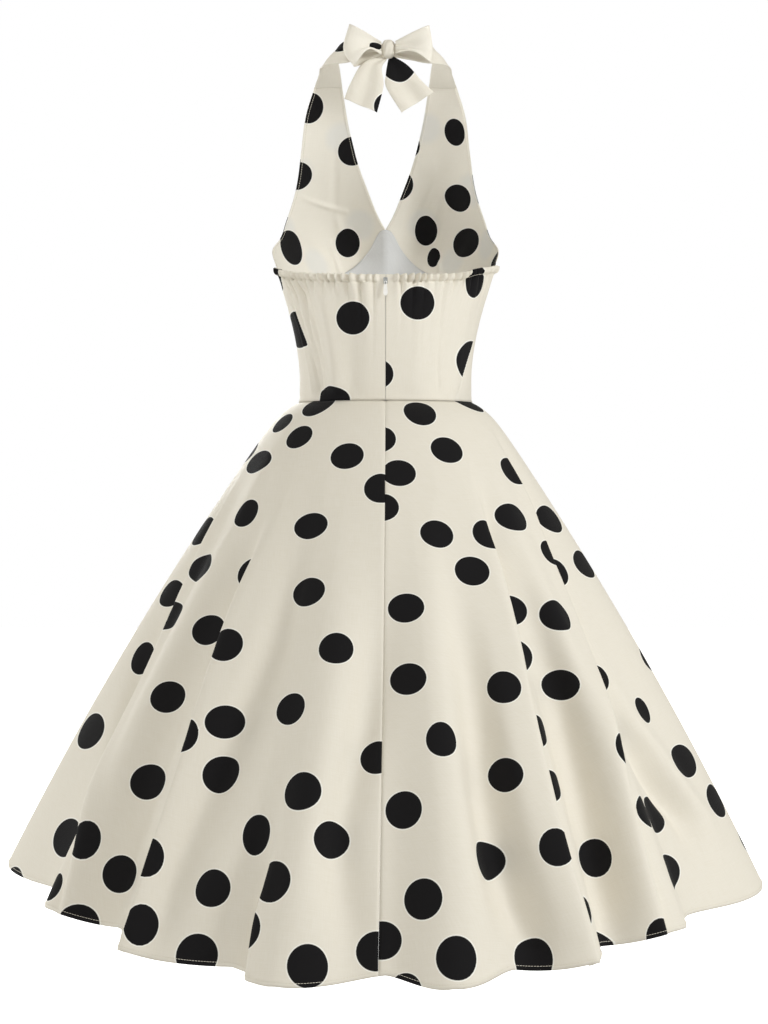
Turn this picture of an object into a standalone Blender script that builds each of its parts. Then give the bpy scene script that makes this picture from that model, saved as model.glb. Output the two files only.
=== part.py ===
"""Halter-neck swing dress with a full flared skirt, tied in a bow at the nape.

Metres, +Z up. The wearer faces -Y and the wearer's left is +X. The origin is the nape, where the
neck ties rest on the back of the neck. Angles go round the body from centre back, towards the
wearer's left: 0 is centre back, 90 the left side seam and 180 centre front.
Every cloth piece is a thin wall whose outer face is placed by the piece's own function.
"""

import math

import bmesh
import bpy
import numpy as np
from mathutils import Vector

# Cloth
SKIRT_WALL = 0.0015
BODICE_WALL = 0.0012
LINING_WALL = 0.0010
TIE_WALL = 0.0011
SEAM_GAP = 0.0003

# The figure that the bodice is cut for
BODY_AXIS_Y = -0.0735
WAIST_HEIGHT = -0.418
HEIGHT, HALF_WIDTH, BACK, FRONT = range(4)
FIGURE = (  # height, half width, y at centre back, y at centre front
    (-0.418, 0.1065, 0.0130, -0.1600),
    (-0.374, 0.1072, 0.0130, -0.1640),
    (-0.340, 0.1120, 0.0140, -0.1690),
    (-0.306, 0.1200, 0.0160, -0.1740),
    (-0.280, 0.1274, 0.0180, -0.1780),
    (-0.257, 0.1330, 0.0190, -0.1810),
    (-0.236, 0.1402, 0.0190, -0.1825),
    (-0.185, 0.1480, 0.0190, -0.1790),
    (-0.140, 0.1480, 0.0190, -0.1680),
    (-0.100, 0.1480, 0.0190, -0.1520),
    (-0.050, 0.1450, 0.0190, -0.1260),
    (-0.020, 0.1350, 0.0190, -0.1050),
)
BUST_ACROSS = 0.076
BUST_HEIGHT = -0.208
BUST_OUT = 0.046
BUST_SPREAD = 0.043
BUST_RISE = 0.060
BUST_FALL = 0.040

# Grid of the front: even steps from the side seam, then narrow ones up to centre front
FRONT_EVEN_TO = 164
FRONT_EVEN_STOPS = 16
FRONT_CENTRE_STOPS = (168, 172, 176, 180)
MIDRIFF_ROWS = 7
HALTER_ROWS = (0.0, 0.11, 0.22, 0.33, 0.44, 0.54, 0.63, 0.71, 0.78, 0.85, 0.91, 0.96, 1.0)

# Seams and edges of the front: distance from centre front, and height
ACROSS, UP = range(2)
MIDRIFF_SEAM = (
    (0.0000, -0.1875),
    (0.0060, -0.1895),
    (0.0182, -0.2112),
    (0.0347, -0.2308),
    (0.0520, -0.2430),
    (0.0850, -0.2560),
    (0.1150, -0.2620),
    (0.1390, -0.2640),
)
NECK_EDGE = (
    (0.0000, -0.1870),
    (0.0072, -0.1745),
    (0.0228, -0.1385),
    (0.0368, -0.1023),
    (0.0435, -0.0774),
    (0.0520, -0.0353),
    (0.0545, -0.0200),
)
ARM_EDGE = (
    (0.1390, -0.2640),
    (0.1402, -0.2377),
    (0.1340, -0.2080),
    (0.1275, -0.1853),
    (0.1185, -0.1560),
    (0.1125, -0.1300),
    (0.1080, -0.1000),
    (0.0985, -0.0456),
    (0.0895, -0.0215),
)

# Back bodice: an elastic casing along its top edge gathers it
CASING_TOP_SIDE = -0.2505
CASING_TOP_CENTRE = -0.2690
CASING_DEPTH = 0.0090
CASING_PUFF = 0.0012
GATHERS_PER_HALF = 23
GATHER_STEPS = 4
GATHER_HEIGHT = 0.0012
GATHER_LENGTH = 0.060
GATHER_DRIFT = (0.5, 21)  # how far the gathers wander from an even pitch, and how often
GATHER_UNEVEN = (0.85, 0.25, 17)  # their mean height, its change, and how often it changes
GATHER_CLEAR = 0.03  # share of the half left flat beside the zip, before the gathers fade in
GATHER_FADE = 0.05
BODICE_ROWS = (0.0, 0.030, 0.065, 0.17, 0.38, 1.0)
ZIP_EDGE_GAP = 0.0008

# Skirt: flutes round the hem, each a ridge and the valley that follows it
SKIRT_AXIS_Y = -0.0735
SKIRT_RADIUS = 0.4600
SKIRT_SPRING = 0.12
SKIRT_KICK = 0.045
SKIRT_KICK_LENGTH = 0.02
SKIRT_DROOP = 0.06
RIDGE_AT, RIDGE_OUT, RIDGE_DROP, VALLEY_AT, VALLEY_OUT, VALLEY_DROP, STARTS = range(7)
FLUTES = (  # angle, radius at the hem and drop from the waist of ridge and valley; start down the skirt
    (-168.0, 0.452, 0.584, -156.0, 0.420, 0.578, 0.22),
    (-143.0, 0.458, 0.578, -127.0, 0.413, 0.572, 0.12),
    (-113.0, 0.456, 0.576, -98.0, 0.420, 0.578, 0.18),
    (-84.0, 0.461, 0.586, -58.0, 0.400, 0.583, 0.04),
    (-45.5, 0.439, 0.574, -36.0, 0.397, 0.587, 0.12),
    (-28.5, 0.451, 0.585, -18.0, 0.427, 0.588, 0.20),
    (-8.5, 0.456, 0.595, 0.0, 0.425, 0.589, 0.35),
    (14.0, 0.459, 0.594, 21.5, 0.428, 0.588, 0.40),
    (36.5, 0.458, 0.580, 44.5, 0.409, 0.576, 0.16),
    (54.0, 0.456, 0.561, 65.5, 0.412, 0.564, 0.08),
    (85.0, 0.462, 0.562, 99.0, 0.418, 0.566, 0.14),
    (112.0, 0.458, 0.566, 124.0, 0.420, 0.572, 0.20),
    (138.0, 0.461, 0.574, 149.0, 0.414, 0.578, 0.12),
    (163.0, 0.455, 0.584, 177.0, 0.424, 0.586, 0.25),
)
FLUTE_STEPS = 4
FLUTE_SAG = 0.0030
FLUTE_DEEPENING = 1.15
WAIST_BLEND = 0.3  # how far down the skirt its angles turn from the oval waist's to even ones
SKIRT_ROWS = (0.0, 0.015, 0.05, 0.13, 0.24, 0.36, 0.49, 0.62, 0.75, 0.88, 1.0)

# Neck tie, wearer's left, from the halter panel round the neck to the knot
TIE_LENGTH = 0.17
TIE_SEAM_GAP = 0.0010
TIE = (  # neck side edge x, y, z; arm side edge x, y, z
    (0.0570, -0.0730, -0.0020, 0.0830, -0.0690, -0.0125),
    (0.0595, -0.0450, 0.0085, 0.0795, -0.0420, -0.0095),
    (0.0560, -0.0220, 0.0130, 0.0685, -0.0190, -0.0110),
    (0.0440, -0.0040, 0.0155, 0.0480, -0.0020, -0.0130),
    (0.0250, 0.0030, 0.0130, 0.0265, 0.0040, -0.0105),
)
TIE_END = (0.0055, 0.0085, 0.0060, -0.0075)  # y and z of the same two edges, at the knot
TIE_CROWN = 0.08
TIE_CROWN_RISE = 0.02
TIE_JOIN = 0.25
TIE_GRID = (6, 22)  # stops across and along

# Bow
KNOT_CENTRE = (-0.0034, 0.0110, 0.0005)
KNOT_RADII = (0.0084, 0.0090, 0.0112)
KNOT_GRID = (20, 12)
KNOT_FOLDS = 6
KNOT_FOLD_DEPTH = 0.12
LOOPS = {  # knot end: x, y, half height; outer end: x, z at its lower corner, middle and upper corner
    "bow_loop_left": (0.0044, 0.0150, 0.0070, (0.0368, -0.0221), (0.0490, -0.0020), (0.0421, 0.0271)),
    "bow_loop_right": (-0.0112, 0.0150, 0.0070, (-0.0530, -0.0185), (-0.0548, 0.0010), (-0.0512, 0.0256)),
}
LOOP_GRID = (6, 18)
LOOP_PUFF = 0.0085
LOOP_PUFF_LEAN = 0.25  # how much less the loop puffs at its top edge
LOOP_LIFT = 0.0075
LOOP_END_ANGLE = 0.30
LOOP_MOUTH = 0.0014
TAILS = {  # down the tail: left edge x, z and right edge x, z, seen from the back
    "bow_tail_left": (
        (0.0026, -0.0082, -0.0018, -0.0112),
        (0.0262, -0.0160, 0.0042, -0.0230),
        (0.0415, -0.0410, 0.0024, -0.0450),
        (0.0492, -0.0595, 0.0100, -0.0757),
    ),
    "bow_tail_right": (
        (-0.0032, -0.0115, -0.0100, -0.0079),
        (-0.0004, -0.0300, -0.0268, -0.0200),
        (-0.0010, -0.0470, -0.0425, -0.0380),
        (-0.0191, -0.0760, -0.0575, -0.0518),
    ),
}
TAIL_GRID = (13, 9)
TAIL_TOP_Y = 0.0095
TAIL_BOTTOM_Y = 0.0150
TAIL_BOW_OUT = 0.0050
TAIL_PLEATS = 1.5
TAIL_PLEAT_DEPTH = 0.0016
TAIL_PLEAT_AT_KNOT = 0.35  # share of that depth right under the knot

# Zip at centre back
ZIP_TOP = -0.2710
TAPE_HALF_WIDTH = 0.0040
TAPE_WALL = 0.0010
TAPE_SKIRT_ROWS = 5
SLIDER_SIZE = (0.0050, 0.0020, 0.0075)
SLIDER_HEIGHT = -0.2765
SLIDER_BEVEL = 0.0005
PIVOT_OUT = 0.0011
PIVOT_HEIGHT = -0.2780
CROWN_RADIUS = 0.0017
CROWN_WIRE = 0.00045
CROWN_GRID = (20, 6)
PULL_THICKNESS = 0.0010
PULL_BAR = 0.0006
PULL_NECK = 0.0017
PULL_WIDEST = 0.00265
PULL_WIDEST_AT = 0.0125
PULL_LENGTH = 0.0168
PULL_END_STEPS = 12
PULL_WINDOW = (0.00095, 0.0031)  # half width, and how far its foot is below the hinge
SLIDER_ROUNDING_STEPS = 1

IVORY = (0.80, 0.76, 0.67, 1.0)
WHITE = (0.78, 0.78, 0.78, 1.0)
STEEL = (0.55, 0.56, 0.58, 1.0)
CREAM = (0.86, 0.84, 0.78, 1.0)

SEAM_TURN = math.degrees(SEAM_GAP / 2 / FIGURE[0][HALF_WIDTH])
ZIP_EDGE_TURN = math.degrees(ZIP_EDGE_GAP / 2 / FIGURE[0][HALF_WIDTH])


def flow(stations, values, at):
    """Reads a smooth curve that passes through the values at the stations."""
    stations = np.asarray(stations, float)
    values = np.asarray(values, float)
    slopes = np.gradient(values, stations, axis=0)
    i = int(np.clip(np.searchsorted(stations, at, side="right") - 1, 0, len(stations) - 2))
    span = stations[i + 1] - stations[i]
    u = (at - stations[i]) / span
    start = (1 + 2 * u) * (1 - u) ** 2
    end = u * u * (3 - 2 * u)
    leave = u * (1 - u) ** 2 * span
    arrive = u * u * (u - 1) * span
    return start * values[i] + end * values[i + 1] + leave * slopes[i] + arrive * slopes[i + 1]


def ease(x):
    """Goes smoothly from 0 to 1 as x does."""
    x = min(1.0, max(0.0, x))
    return x * x * (3 - 2 * x)


def mix(a, b, share):
    return a + (b - a) * share


def column(table, name):
    return [row[name] for row in table]


def figure(angle, height):
    """A point of the figure's surface at an angle in degrees and a height."""
    heights = column(FIGURE, HEIGHT)
    half_width = flow(heights, column(FIGURE, HALF_WIDTH), height)
    back = flow(heights, column(FIGURE, BACK), height)
    front = flow(heights, column(FIGURE, FRONT), height)
    turn = math.radians(angle)
    x = half_width * math.sin(turn)
    ahead = math.cos(turn)
    if ahead >= 0:
        return Vector((x, BODY_AXIS_Y + ahead * (back - BODY_AXIS_Y), height))
    spread = BUST_RISE if height > BUST_HEIGHT else BUST_FALL
    beside = (abs(x) - BUST_ACROSS) / BUST_SPREAD
    above = (height - BUST_HEIGHT) / spread
    bust = BUST_OUT * -ahead * math.exp(-(beside**2 + above**2) / 2)
    return Vector((x, BODY_AXIS_Y + ahead * (BODY_AXIS_Y - front) - bust, height))


def seam_height(angle, above):
    """Height of the midriff's top seam: above is 1 on the halter side of its gap, -1 on the other."""
    stations, heights = column(MIDRIFF_SEAM, ACROSS), column(MIDRIFF_SEAM, UP)
    across = abs(math.sin(math.radians(angle))) * stations[-1]
    height = flow(stations, heights, across)
    slope = (flow(stations, heights, across + SEAM_GAP) - height) / SEAM_GAP
    return height + above * SEAM_GAP / 2 * math.hypot(1, slope)


def front_stops():
    """Grid stops over the left half of the front, from the side seam to centre front."""
    return [*np.linspace(90 + SEAM_TURN, FRONT_EVEN_TO, FRONT_EVEN_STOPS), *FRONT_CENTRE_STOPS]


def make_material(name, colour, roughness, metallic=0.0):
    material = bpy.data.materials.new(name)
    material.use_nodes = True
    shader = material.node_tree.nodes["Principled BSDF"]
    shader.inputs["Base Color"].default_value = colour
    shader.inputs["Roughness"].default_value = roughness
    shader.inputs["Metallic"].default_value = metallic
    return material


def add_object(name, mesh, material, collection):
    piece = bpy.data.objects.new(name, mesh)
    piece.data.materials.append(material)
    collection.objects.link(piece)
    return piece


def cloth(name, across, down, place, wall, material, collection, inset=0.0, mirrored=False):
    """One piece of cloth. across and down are the stops of its grid, place(a, d) puts each stop on
    the piece's outer face, and the wall's thickness goes inwards. across rises with the angle."""
    bm = bmesh.new()
    bmesh.ops.create_grid(bm, x_segments=len(across) - 1, y_segments=len(down) - 1, size=0.5)
    for v in bm.verts:
        i = round((v.co.x + 0.5) * (len(across) - 1))
        j = round((v.co.y + 0.5) * (len(down) - 1))
        v.co = place(across[i], down[j])
    if mirrored:
        bmesh.ops.scale(bm, vec=(-1, 1, 1), verts=bm.verts)
        bmesh.ops.reverse_faces(bm, faces=bm.faces)
    bm.normal_update()
    for v, normal in [(v, v.normal.copy()) for v in bm.verts]:
        v.co -= normal * inset
    mesh = bpy.data.meshes.new(name)
    bm.to_mesh(mesh)
    bm.free()
    mesh.shade_smooth()
    piece = add_object(name, mesh, material, collection)
    thickness = piece.modifiers.new("wall", "SOLIDIFY")
    thickness.thickness = wall
    thickness.offset = -1.0
    thickness.use_quality_normals = True
    return piece


def flute_stops():
    """The ridges and valleys of the skirt in order: angle, radius and drop at the hem, and start."""
    stops = []
    for flute in FLUTES:
        stops.append((flute[RIDGE_AT], flute[RIDGE_OUT], flute[RIDGE_DROP], flute[STARTS]))
        stops.append((flute[VALLEY_AT], flute[VALLEY_OUT], flute[VALLEY_DROP], flute[STARTS]))
    first = stops[0]
    return stops + [(first[0] + 360, *first[1:])]


def skirt_point(angle, down):
    """A point of the skirt's outer face: down is 0 at the waist and 1 at the hem."""
    stops = flute_stops()
    turned = (angle - stops[0][0]) % 360 + stops[0][0]
    i = int(np.clip(np.searchsorted(column(stops, 0), turned, side="right") - 1, 0, len(stops) - 2))
    share = (turned - stops[i][0]) / (stops[i + 1][0] - stops[i][0])
    radius, drop, starts = (mix(a, b, ease(share)) for a, b in zip(stops[i][1:], stops[i + 1][1:]))
    drop += FLUTE_SAG * abs(math.sin(math.pi * share))
    waist = figure(angle, WAIST_HEIGHT)
    waist_radius = math.hypot(waist.x, waist.y - SKIRT_AXIS_Y)
    deepening = max(0.0, (down - starts) / (1 - starts)) ** FLUTE_DEEPENING
    kick = SKIRT_KICK * (1 - math.exp(-down / SKIRT_KICK_LENGTH))
    flare = down + (SKIRT_SPRING * down + kick) * (1 - down)
    reach = mix(waist_radius, SKIRT_RADIUS, flare) + (radius - SKIRT_RADIUS) * deepening
    fall = drop * (down - SKIRT_DROOP * down * (1 - down))
    heading = math.atan2(waist.x, waist.y - SKIRT_AXIS_Y)
    heading = mix(heading, heading + math.radians(angle_past(heading, angle)), ease(down / WAIST_BLEND))
    return Vector((
        reach * math.sin(heading),
        SKIRT_AXIS_Y + reach * math.cos(heading),
        WAIST_HEIGHT - SEAM_GAP / 2 - fall,
    ))


def angle_past(heading, angle):
    """How far, in degrees, the plain angle lies past the heading of the waist's own point."""
    return (angle - math.degrees(heading) + 180) % 360 - 180


def skirt_columns(start, end):
    """Grid stops from one seam to the other, closest together where the flutes turn."""
    turns = [stop[0] + whole for whole in (-360, 0, 360) for stop in flute_stops()[:-1]]
    turns = [start] + sorted(t for t in turns if start + 1 < t < end - 1) + [end]
    columns = [start]
    for a, b in zip(turns, turns[1:]):
        columns += [mix(a, b, k / FLUTE_STEPS) for k in range(1, FLUTE_STEPS + 1)]
    return columns


def make_skirt(material, collection):
    panels = {"skirt_back_left": (0, 90), "skirt_front": (90, 270), "skirt_back_right": (270, 360)}
    for name, (start, end) in panels.items():

        def place(angle, down, start=start, end=end):
            turn = math.radians(angle)
            aside = SEAM_GAP / 2 * ((angle == start) - (angle == end))
            return skirt_point(angle, down) + aside * Vector((math.cos(turn), -math.sin(turn), 0))

        cloth(name, skirt_columns(start, end), SKIRT_ROWS, place, SKIRT_WALL, material, collection)


def back_bodice_point(angle, down):
    """Outer face of the left back bodice: down is 0 at its gathered top edge and 1 at the waist."""
    share = angle / 90
    top = mix(CASING_TOP_CENTRE, CASING_TOP_SIDE, share**2)
    full = top - WAIST_HEIGHT - SEAM_GAP / 2
    height = top - full * down
    point = figure(angle, height)
    below = full * down
    near_zip = min(1.0, max(0.0, (share - GATHER_CLEAR) / GATHER_FADE))
    near_seams = near_zip * min(1.0, (1 - share) / GATHER_FADE)
    drift, drift_turns = GATHER_DRIFT
    mean, change, change_turns = GATHER_UNEVEN
    phase = 2 * math.pi * GATHERS_PER_HALF * share + drift * math.sin(drift_turns * share)
    uneven = mean + change * math.sin(change_turns * share + 1)
    gather = GATHER_HEIGHT * uneven * near_seams * (1 - ease(below / GATHER_LENGTH))
    from_middle = (below - CASING_DEPTH / 2) / (CASING_DEPTH / 2)
    puff = CASING_PUFF * near_seams * math.exp(-(from_middle**2))
    outward = Vector((point.x, point.y - BODY_AXIS_Y, 0)).normalized()
    return point + outward * (gather * math.sin(phase) + puff)


def make_back_bodice(material, collection):
    stops = np.linspace(ZIP_EDGE_TURN, 90 - SEAM_TURN, GATHER_STEPS * GATHERS_PER_HALF + 1)
    for side in ("left", "right"):
        cloth(f"back_bodice_{side}", stops, BODICE_ROWS, back_bodice_point, BODICE_WALL, material,
              collection, mirrored=side == "right")


def midriff_point(angle, down):
    """Outer face of the front midriff: down is 0 at its top seam and 1 at the waist."""
    return figure(angle, mix(seam_height(angle, -1), WAIST_HEIGHT + SEAM_GAP / 2, down))


def make_midriff(cloth_material, lining_material, collection):
    half = front_stops()
    columns = half + [360 - a for a in half[-2::-1]]
    down = np.linspace(0, 1, MIDRIFF_ROWS)
    cloth("front_midriff", columns, down, midriff_point, BODICE_WALL, cloth_material, collection)
    cloth("midriff_lining", columns, down, midriff_point, LINING_WALL, lining_material, collection,
          inset=BODICE_WALL + 2 * SEAM_GAP)


def turned_to(across, height):
    """The angle on the front, on the wearer's left, at a distance from centre front."""
    half_width = flow(column(FIGURE, HEIGHT), column(FIGURE, HALF_WIDTH), height)
    return 180 - math.degrees(math.asin(min(1.0, across / half_width)))


def edge_point(edge, up):
    """Angle and height on an edge of the halter panel, up from 0 at the seam to 1 at the neck."""
    places = [(turned_to(*stop), stop[UP]) for stop in edge]
    lengths = [0.0]
    for a, b in zip(edge, edge[1:]):
        lengths.append(lengths[-1] + math.hypot(b[ACROSS] - a[ACROSS], b[UP] - a[UP]))
    return Vector((*flow(lengths, places, up * lengths[-1]), 0.0))


def halter_point(inward, down):
    """Outer face of the left halter panel: inward from the armhole edge, down from the neck."""
    up = 1 - down
    neck_edge = edge_point(NECK_EDGE, up)
    arm_edge = edge_point(ARM_EDGE, up)
    angle = mix(90, 180, inward)
    seam = Vector((angle, seam_height(angle, 1), 0.0))
    top = edge_point(ARM_EDGE, 1).lerp(edge_point(NECK_EDGE, 1), inward)
    corners = edge_point(ARM_EDGE, 0).lerp(edge_point(NECK_EDGE, 0), inward).lerp(top, up)
    place = arm_edge.lerp(neck_edge, inward) + seam.lerp(top, up) - corners
    return figure(min(180 - SEAM_TURN, max(90 + SEAM_TURN, place.x)), place.y)


def make_halter(material, collection):
    inward = [(angle - 90) / 90 for angle in front_stops()]
    for side in ("left", "right"):
        cloth(f"halter_{side}", inward, HALTER_ROWS, halter_point, BODICE_WALL, material, collection,
              mirrored=side == "right")


def make_ties(material, collection):
    """Each tie leaves its halter panel, goes round the neck and ends at its own side of the knot."""
    arm_side = np.linspace(0, 1, TIE_GRID[0])
    along = np.linspace(TIE_SEAM_GAP / TIE_LENGTH, 1, TIE_GRID[1])
    start = (*figure(*edge_point(NECK_EDGE, 1)[:2]), *figure(*edge_point(ARM_EDGE, 1)[:2]))
    neck_y, neck_z, arm_y, arm_z = TIE_END
    for side, towards in (("left", 1), ("right", -1)):
        end = towards * KNOT_CENTRE[0] + KNOT_RADII[0] + SEAM_GAP
        sections = (start, *TIE, (end, neck_y, neck_z, end, arm_y, arm_z))

        def place(across, share, sections=sections):
            edges = flow(np.arange(len(sections)), sections, share * (len(sections) - 1))
            neck_edge = Vector(edges[:3])
            width = Vector(edges[3:]) - neck_edge
            crown = math.sin(math.pi * across) * TIE_CROWN * width.length * ease(share / TIE_JOIN)
            outward = Vector((neck_edge.x, neck_edge.y - BODY_AXIS_Y, TIE_CROWN_RISE)).normalized()
            seam = Vector(start[:3]).lerp(Vector(start[3:]), across)
            joined = (halter_point(1 - across, 0) - seam) * (1 - ease(share / TIE_JOIN))
            return neck_edge + width * across + outward * crown + joined

        cloth(f"neck_tie_{side}", arm_side, along, place, TIE_WALL, material, collection,
              mirrored=side == "right")


def make_knot(material, collection):
    """The middle of the bow, wrapped round once, with a few folds down it."""
    bm = bmesh.new()
    bmesh.ops.create_uvsphere(bm, u_segments=KNOT_GRID[0], v_segments=KNOT_GRID[1], radius=1.0)
    for v in bm.verts:
        fold = math.cos(KNOT_FOLDS * math.atan2(v.co.y, v.co.x))
        pinch = 1 - KNOT_FOLD_DEPTH * (1 - v.co.z**2) * fold
        v.co = Vector(
            centre + radius * along * (pinch if axis < 2 else 1)
            for axis, (centre, radius, along) in enumerate(zip(KNOT_CENTRE, KNOT_RADII, v.co))
        )
    mesh = bpy.data.meshes.new("bow_knot")
    bm.to_mesh(mesh)
    bm.free()
    mesh.shade_smooth()
    add_object("bow_knot", mesh, material, collection)


def make_loop(name, material, collection):
    """A bow loop: a strip that leaves the knot, turns back at its outer end and returns."""
    knot_x, knot_y, half_height, *outer = LOOPS[name]
    side = 1 if knot_x > 0 else -1

    def place(across, round_loop):
        up = 1 - 2 * across if side > 0 else 2 * across - 1
        near = Vector((knot_x, knot_y, KNOT_CENTRE[2] + up * half_height))
        x, z = flow((-1, 0, 1), outer, up)
        far = Vector((x, knot_y + LOOP_LIFT, z))
        turn = mix(LOOP_END_ANGLE, 2 * math.pi - LOOP_END_ANGLE, round_loop)
        point = near.lerp(far, (1 - math.cos(turn)) / 2)
        puff = LOOP_PUFF * (1 - LOOP_PUFF_LEAN * up) * math.sin(turn) * math.sin(turn / 2)
        return point + Vector((0, puff + LOOP_MOUTH * math.cos(turn / 2), 0))

    across, along = (np.linspace(0, 1, stops) for stops in LOOP_GRID)
    cloth(name, across, along, place, TIE_WALL, material, collection)


def make_tail(name, material, collection):
    """A bow tail: gathered under the knot and spread towards its slanted end."""
    stations = TAILS[name]

    def place(across, down):
        left_x, left_z, right_x, right_z = flow(np.arange(len(stations)), stations,
                                                down * (len(stations) - 1))
        point = Vector((mix(right_x, left_x, across), 0, mix(right_z, left_z, across)))
        pleat = TAIL_PLEAT_DEPTH * math.sin(2 * math.pi * TAIL_PLEATS * across)
        pleat *= mix(TAIL_PLEAT_AT_KNOT, 1, down)
        bow_out = TAIL_BOW_OUT * math.sin(math.pi * down)
        return point + Vector((0, mix(TAIL_TOP_Y, TAIL_BOTTOM_Y, down) + pleat + bow_out, 0))

    across, down = (np.linspace(0, 1, stops) for stops in TAIL_GRID)
    cloth(name, across, down, place, TIE_WALL, material, collection)


def make_zip_tape(material, collection):
    """The closed tape behind the centre-back seam, from the casing down into the skirt."""
    seam = [figure(0, mix(ZIP_TOP, WAIST_HEIGHT, share)) for share in np.linspace(0, 1, 7)]
    seam += [skirt_point(0, down) for down in SKIRT_ROWS[1:TAPE_SKIRT_ROWS]]

    def place(across, row):
        return Vector((across * TAPE_HALF_WIDTH, seam[row].y, seam[row].z))

    cloth("zip_tape", (-1, 0, 1), range(len(seam)), place, TAPE_WALL, material, collection,
          inset=SKIRT_WALL + 2 * SEAM_GAP)


def make_slider(material, collection, cutters):
    """Slider body with its crown, the ring that holds the pull tab."""
    back = figure(0, SLIDER_HEIGHT).y + SEAM_GAP
    bm = bmesh.new()
    bmesh.ops.create_cube(bm, size=1.0)
    bmesh.ops.scale(bm, vec=SLIDER_SIZE, verts=bm.verts)
    bmesh.ops.translate(bm, vec=(0, back + SLIDER_SIZE[1] / 2, SLIDER_HEIGHT), verts=bm.verts)
    mesh = bpy.data.meshes.new("zip_slider")
    bm.to_mesh(mesh)
    bm.free()
    slider = add_object("zip_slider", mesh, material, collection)
    rounding = slider.modifiers.new("rounding", "BEVEL")
    rounding.width = SLIDER_BEVEL
    rounding.segments = SLIDER_ROUNDING_STEPS
    pivot = Vector((0, back + SLIDER_SIZE[1] + PIVOT_OUT, PIVOT_HEIGHT))
    bpy.ops.mesh.primitive_torus_add(
        major_radius=CROWN_RADIUS, minor_radius=CROWN_WIRE,
        major_segments=CROWN_GRID[0], minor_segments=CROWN_GRID[1], location=pivot,
        rotation=(0, math.pi / 2, 0),
    )
    crown = bpy.context.object
    crown.name = "zip_crown_ring"
    crown.hide_render = True
    crown.display_type = "WIRE"
    for holder in list(crown.users_collection):
        holder.objects.unlink(crown)
    cutters.objects.link(crown)
    union = slider.modifiers.new("crown", "BOOLEAN")
    union.operation = "UNION"
    union.solver = "EXACT"
    union.object = crown
    return pivot


def make_pull(pivot, material, collection):
    """Teardrop pull tab, hung by the bar above its window; its origin is on the hinge axis."""
    shape = bpy.data.curves.new("zip_pull", "CURVE")
    shape.dimensions = "2D"
    shape.fill_mode = "BOTH"
    shape.extrude = PULL_THICKNESS / 2
    shape.resolution_u = 4
    outline = [(PULL_NECK, PULL_BAR), (PULL_NECK, -PULL_WINDOW[1])]
    rounding = PULL_LENGTH - PULL_WIDEST_AT
    for k in range(PULL_END_STEPS + 1):
        turn = math.pi * k / PULL_END_STEPS
        outline.append((PULL_WIDEST * math.cos(turn), -PULL_WIDEST_AT - rounding * math.sin(turn)))
    outline += [(-PULL_NECK, -PULL_WINDOW[1]), (-PULL_NECK, PULL_BAR)]
    half, foot = PULL_WINDOW
    window = [(half, -PULL_BAR), (half, -foot), (-half, -foot), (-half, -PULL_BAR)]
    for points in (outline, window):
        spline = shape.splines.new("POLY")
        spline.points.add(len(points) - 1)
        for knot, (x, y) in zip(spline.points, points):
            knot.co = (x, y, 0, 1)
        spline.use_cyclic_u = True
    pull = add_object("zip_pull", shape, material, collection)
    pull.location = pivot
    pull.rotation_euler = (math.pi / 2, 0, 0)


def main():
    for old in list(bpy.data.objects):
        bpy.data.objects.remove(old)
    dress = bpy.data.collections.new("halter_dress")
    cutters = bpy.data.collections.new("cutters")
    for collection in (dress, cutters):
        bpy.context.scene.collection.children.link(collection)
    ivory = make_material("dress_cloth", IVORY, 0.75)
    white = make_material("lining_cloth", WHITE, 0.85)
    steel = make_material("zip_metal", STEEL, 0.35, metallic=1.0)
    cream = make_material("zip_pull_enamel", CREAM, 0.40)
    make_skirt(ivory, dress)
    make_back_bodice(ivory, dress)
    make_midriff(ivory, white, dress)
    make_halter(ivory, dress)
    make_ties(ivory, dress)
    make_knot(ivory, dress)
    for name in LOOPS:
        make_loop(name, ivory, dress)
    for name in TAILS:
        make_tail(name, ivory, dress)
    make_zip_tape(white, dress)
    pivot = make_slider(steel, dress, cutters)
    make_pull(pivot, cream, dress)


main()
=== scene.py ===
import math

import bmesh
import bpy
import numpy as np
from mathutils import Euler, Matrix, Vector
from mathutils.bvhtree import BVHTree


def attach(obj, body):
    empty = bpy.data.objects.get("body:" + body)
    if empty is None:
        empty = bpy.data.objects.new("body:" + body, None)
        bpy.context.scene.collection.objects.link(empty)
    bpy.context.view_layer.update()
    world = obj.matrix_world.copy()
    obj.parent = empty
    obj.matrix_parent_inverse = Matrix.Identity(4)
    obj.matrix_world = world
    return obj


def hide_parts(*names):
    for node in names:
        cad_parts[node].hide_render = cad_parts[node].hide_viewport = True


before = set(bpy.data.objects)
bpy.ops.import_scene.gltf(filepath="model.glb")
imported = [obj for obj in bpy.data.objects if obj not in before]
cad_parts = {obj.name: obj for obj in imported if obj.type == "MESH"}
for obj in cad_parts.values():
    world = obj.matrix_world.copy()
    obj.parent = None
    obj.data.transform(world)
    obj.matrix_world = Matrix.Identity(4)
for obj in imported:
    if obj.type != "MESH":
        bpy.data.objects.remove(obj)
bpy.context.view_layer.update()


# ---------------------------------------------------------------------------------------------
# Where the dress is seen from: straight on to its back, level with the hips, about two metres
# off. A plain pale floor lies well below the hem. The brightest soft light stands behind the
# wearer's right shoulder, and weaker ones fill in from above, both sides and the front.
# ---------------------------------------------------------------------------------------------
EYE = Vector((0.0, 2.1, -0.503))
FOCAL_PX = 1750.0
EYE_ACROSS_PX = 385.5
EYE_DOWN_PX = 471.0
FRAME_PX = (768, 1024)
SENSOR_MM = 36.0


def link_object(name, data):
    """A new object in the scene."""
    made = bpy.data.objects.new(name, data)
    bpy.context.scene.collection.objects.link(made)
    return made


def mesh_of(name, bm):
    """The mesh that a bmesh has built."""
    mesh = bpy.data.meshes.new(name)
    bm.to_mesh(mesh)
    bm.free()
    return mesh


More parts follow.
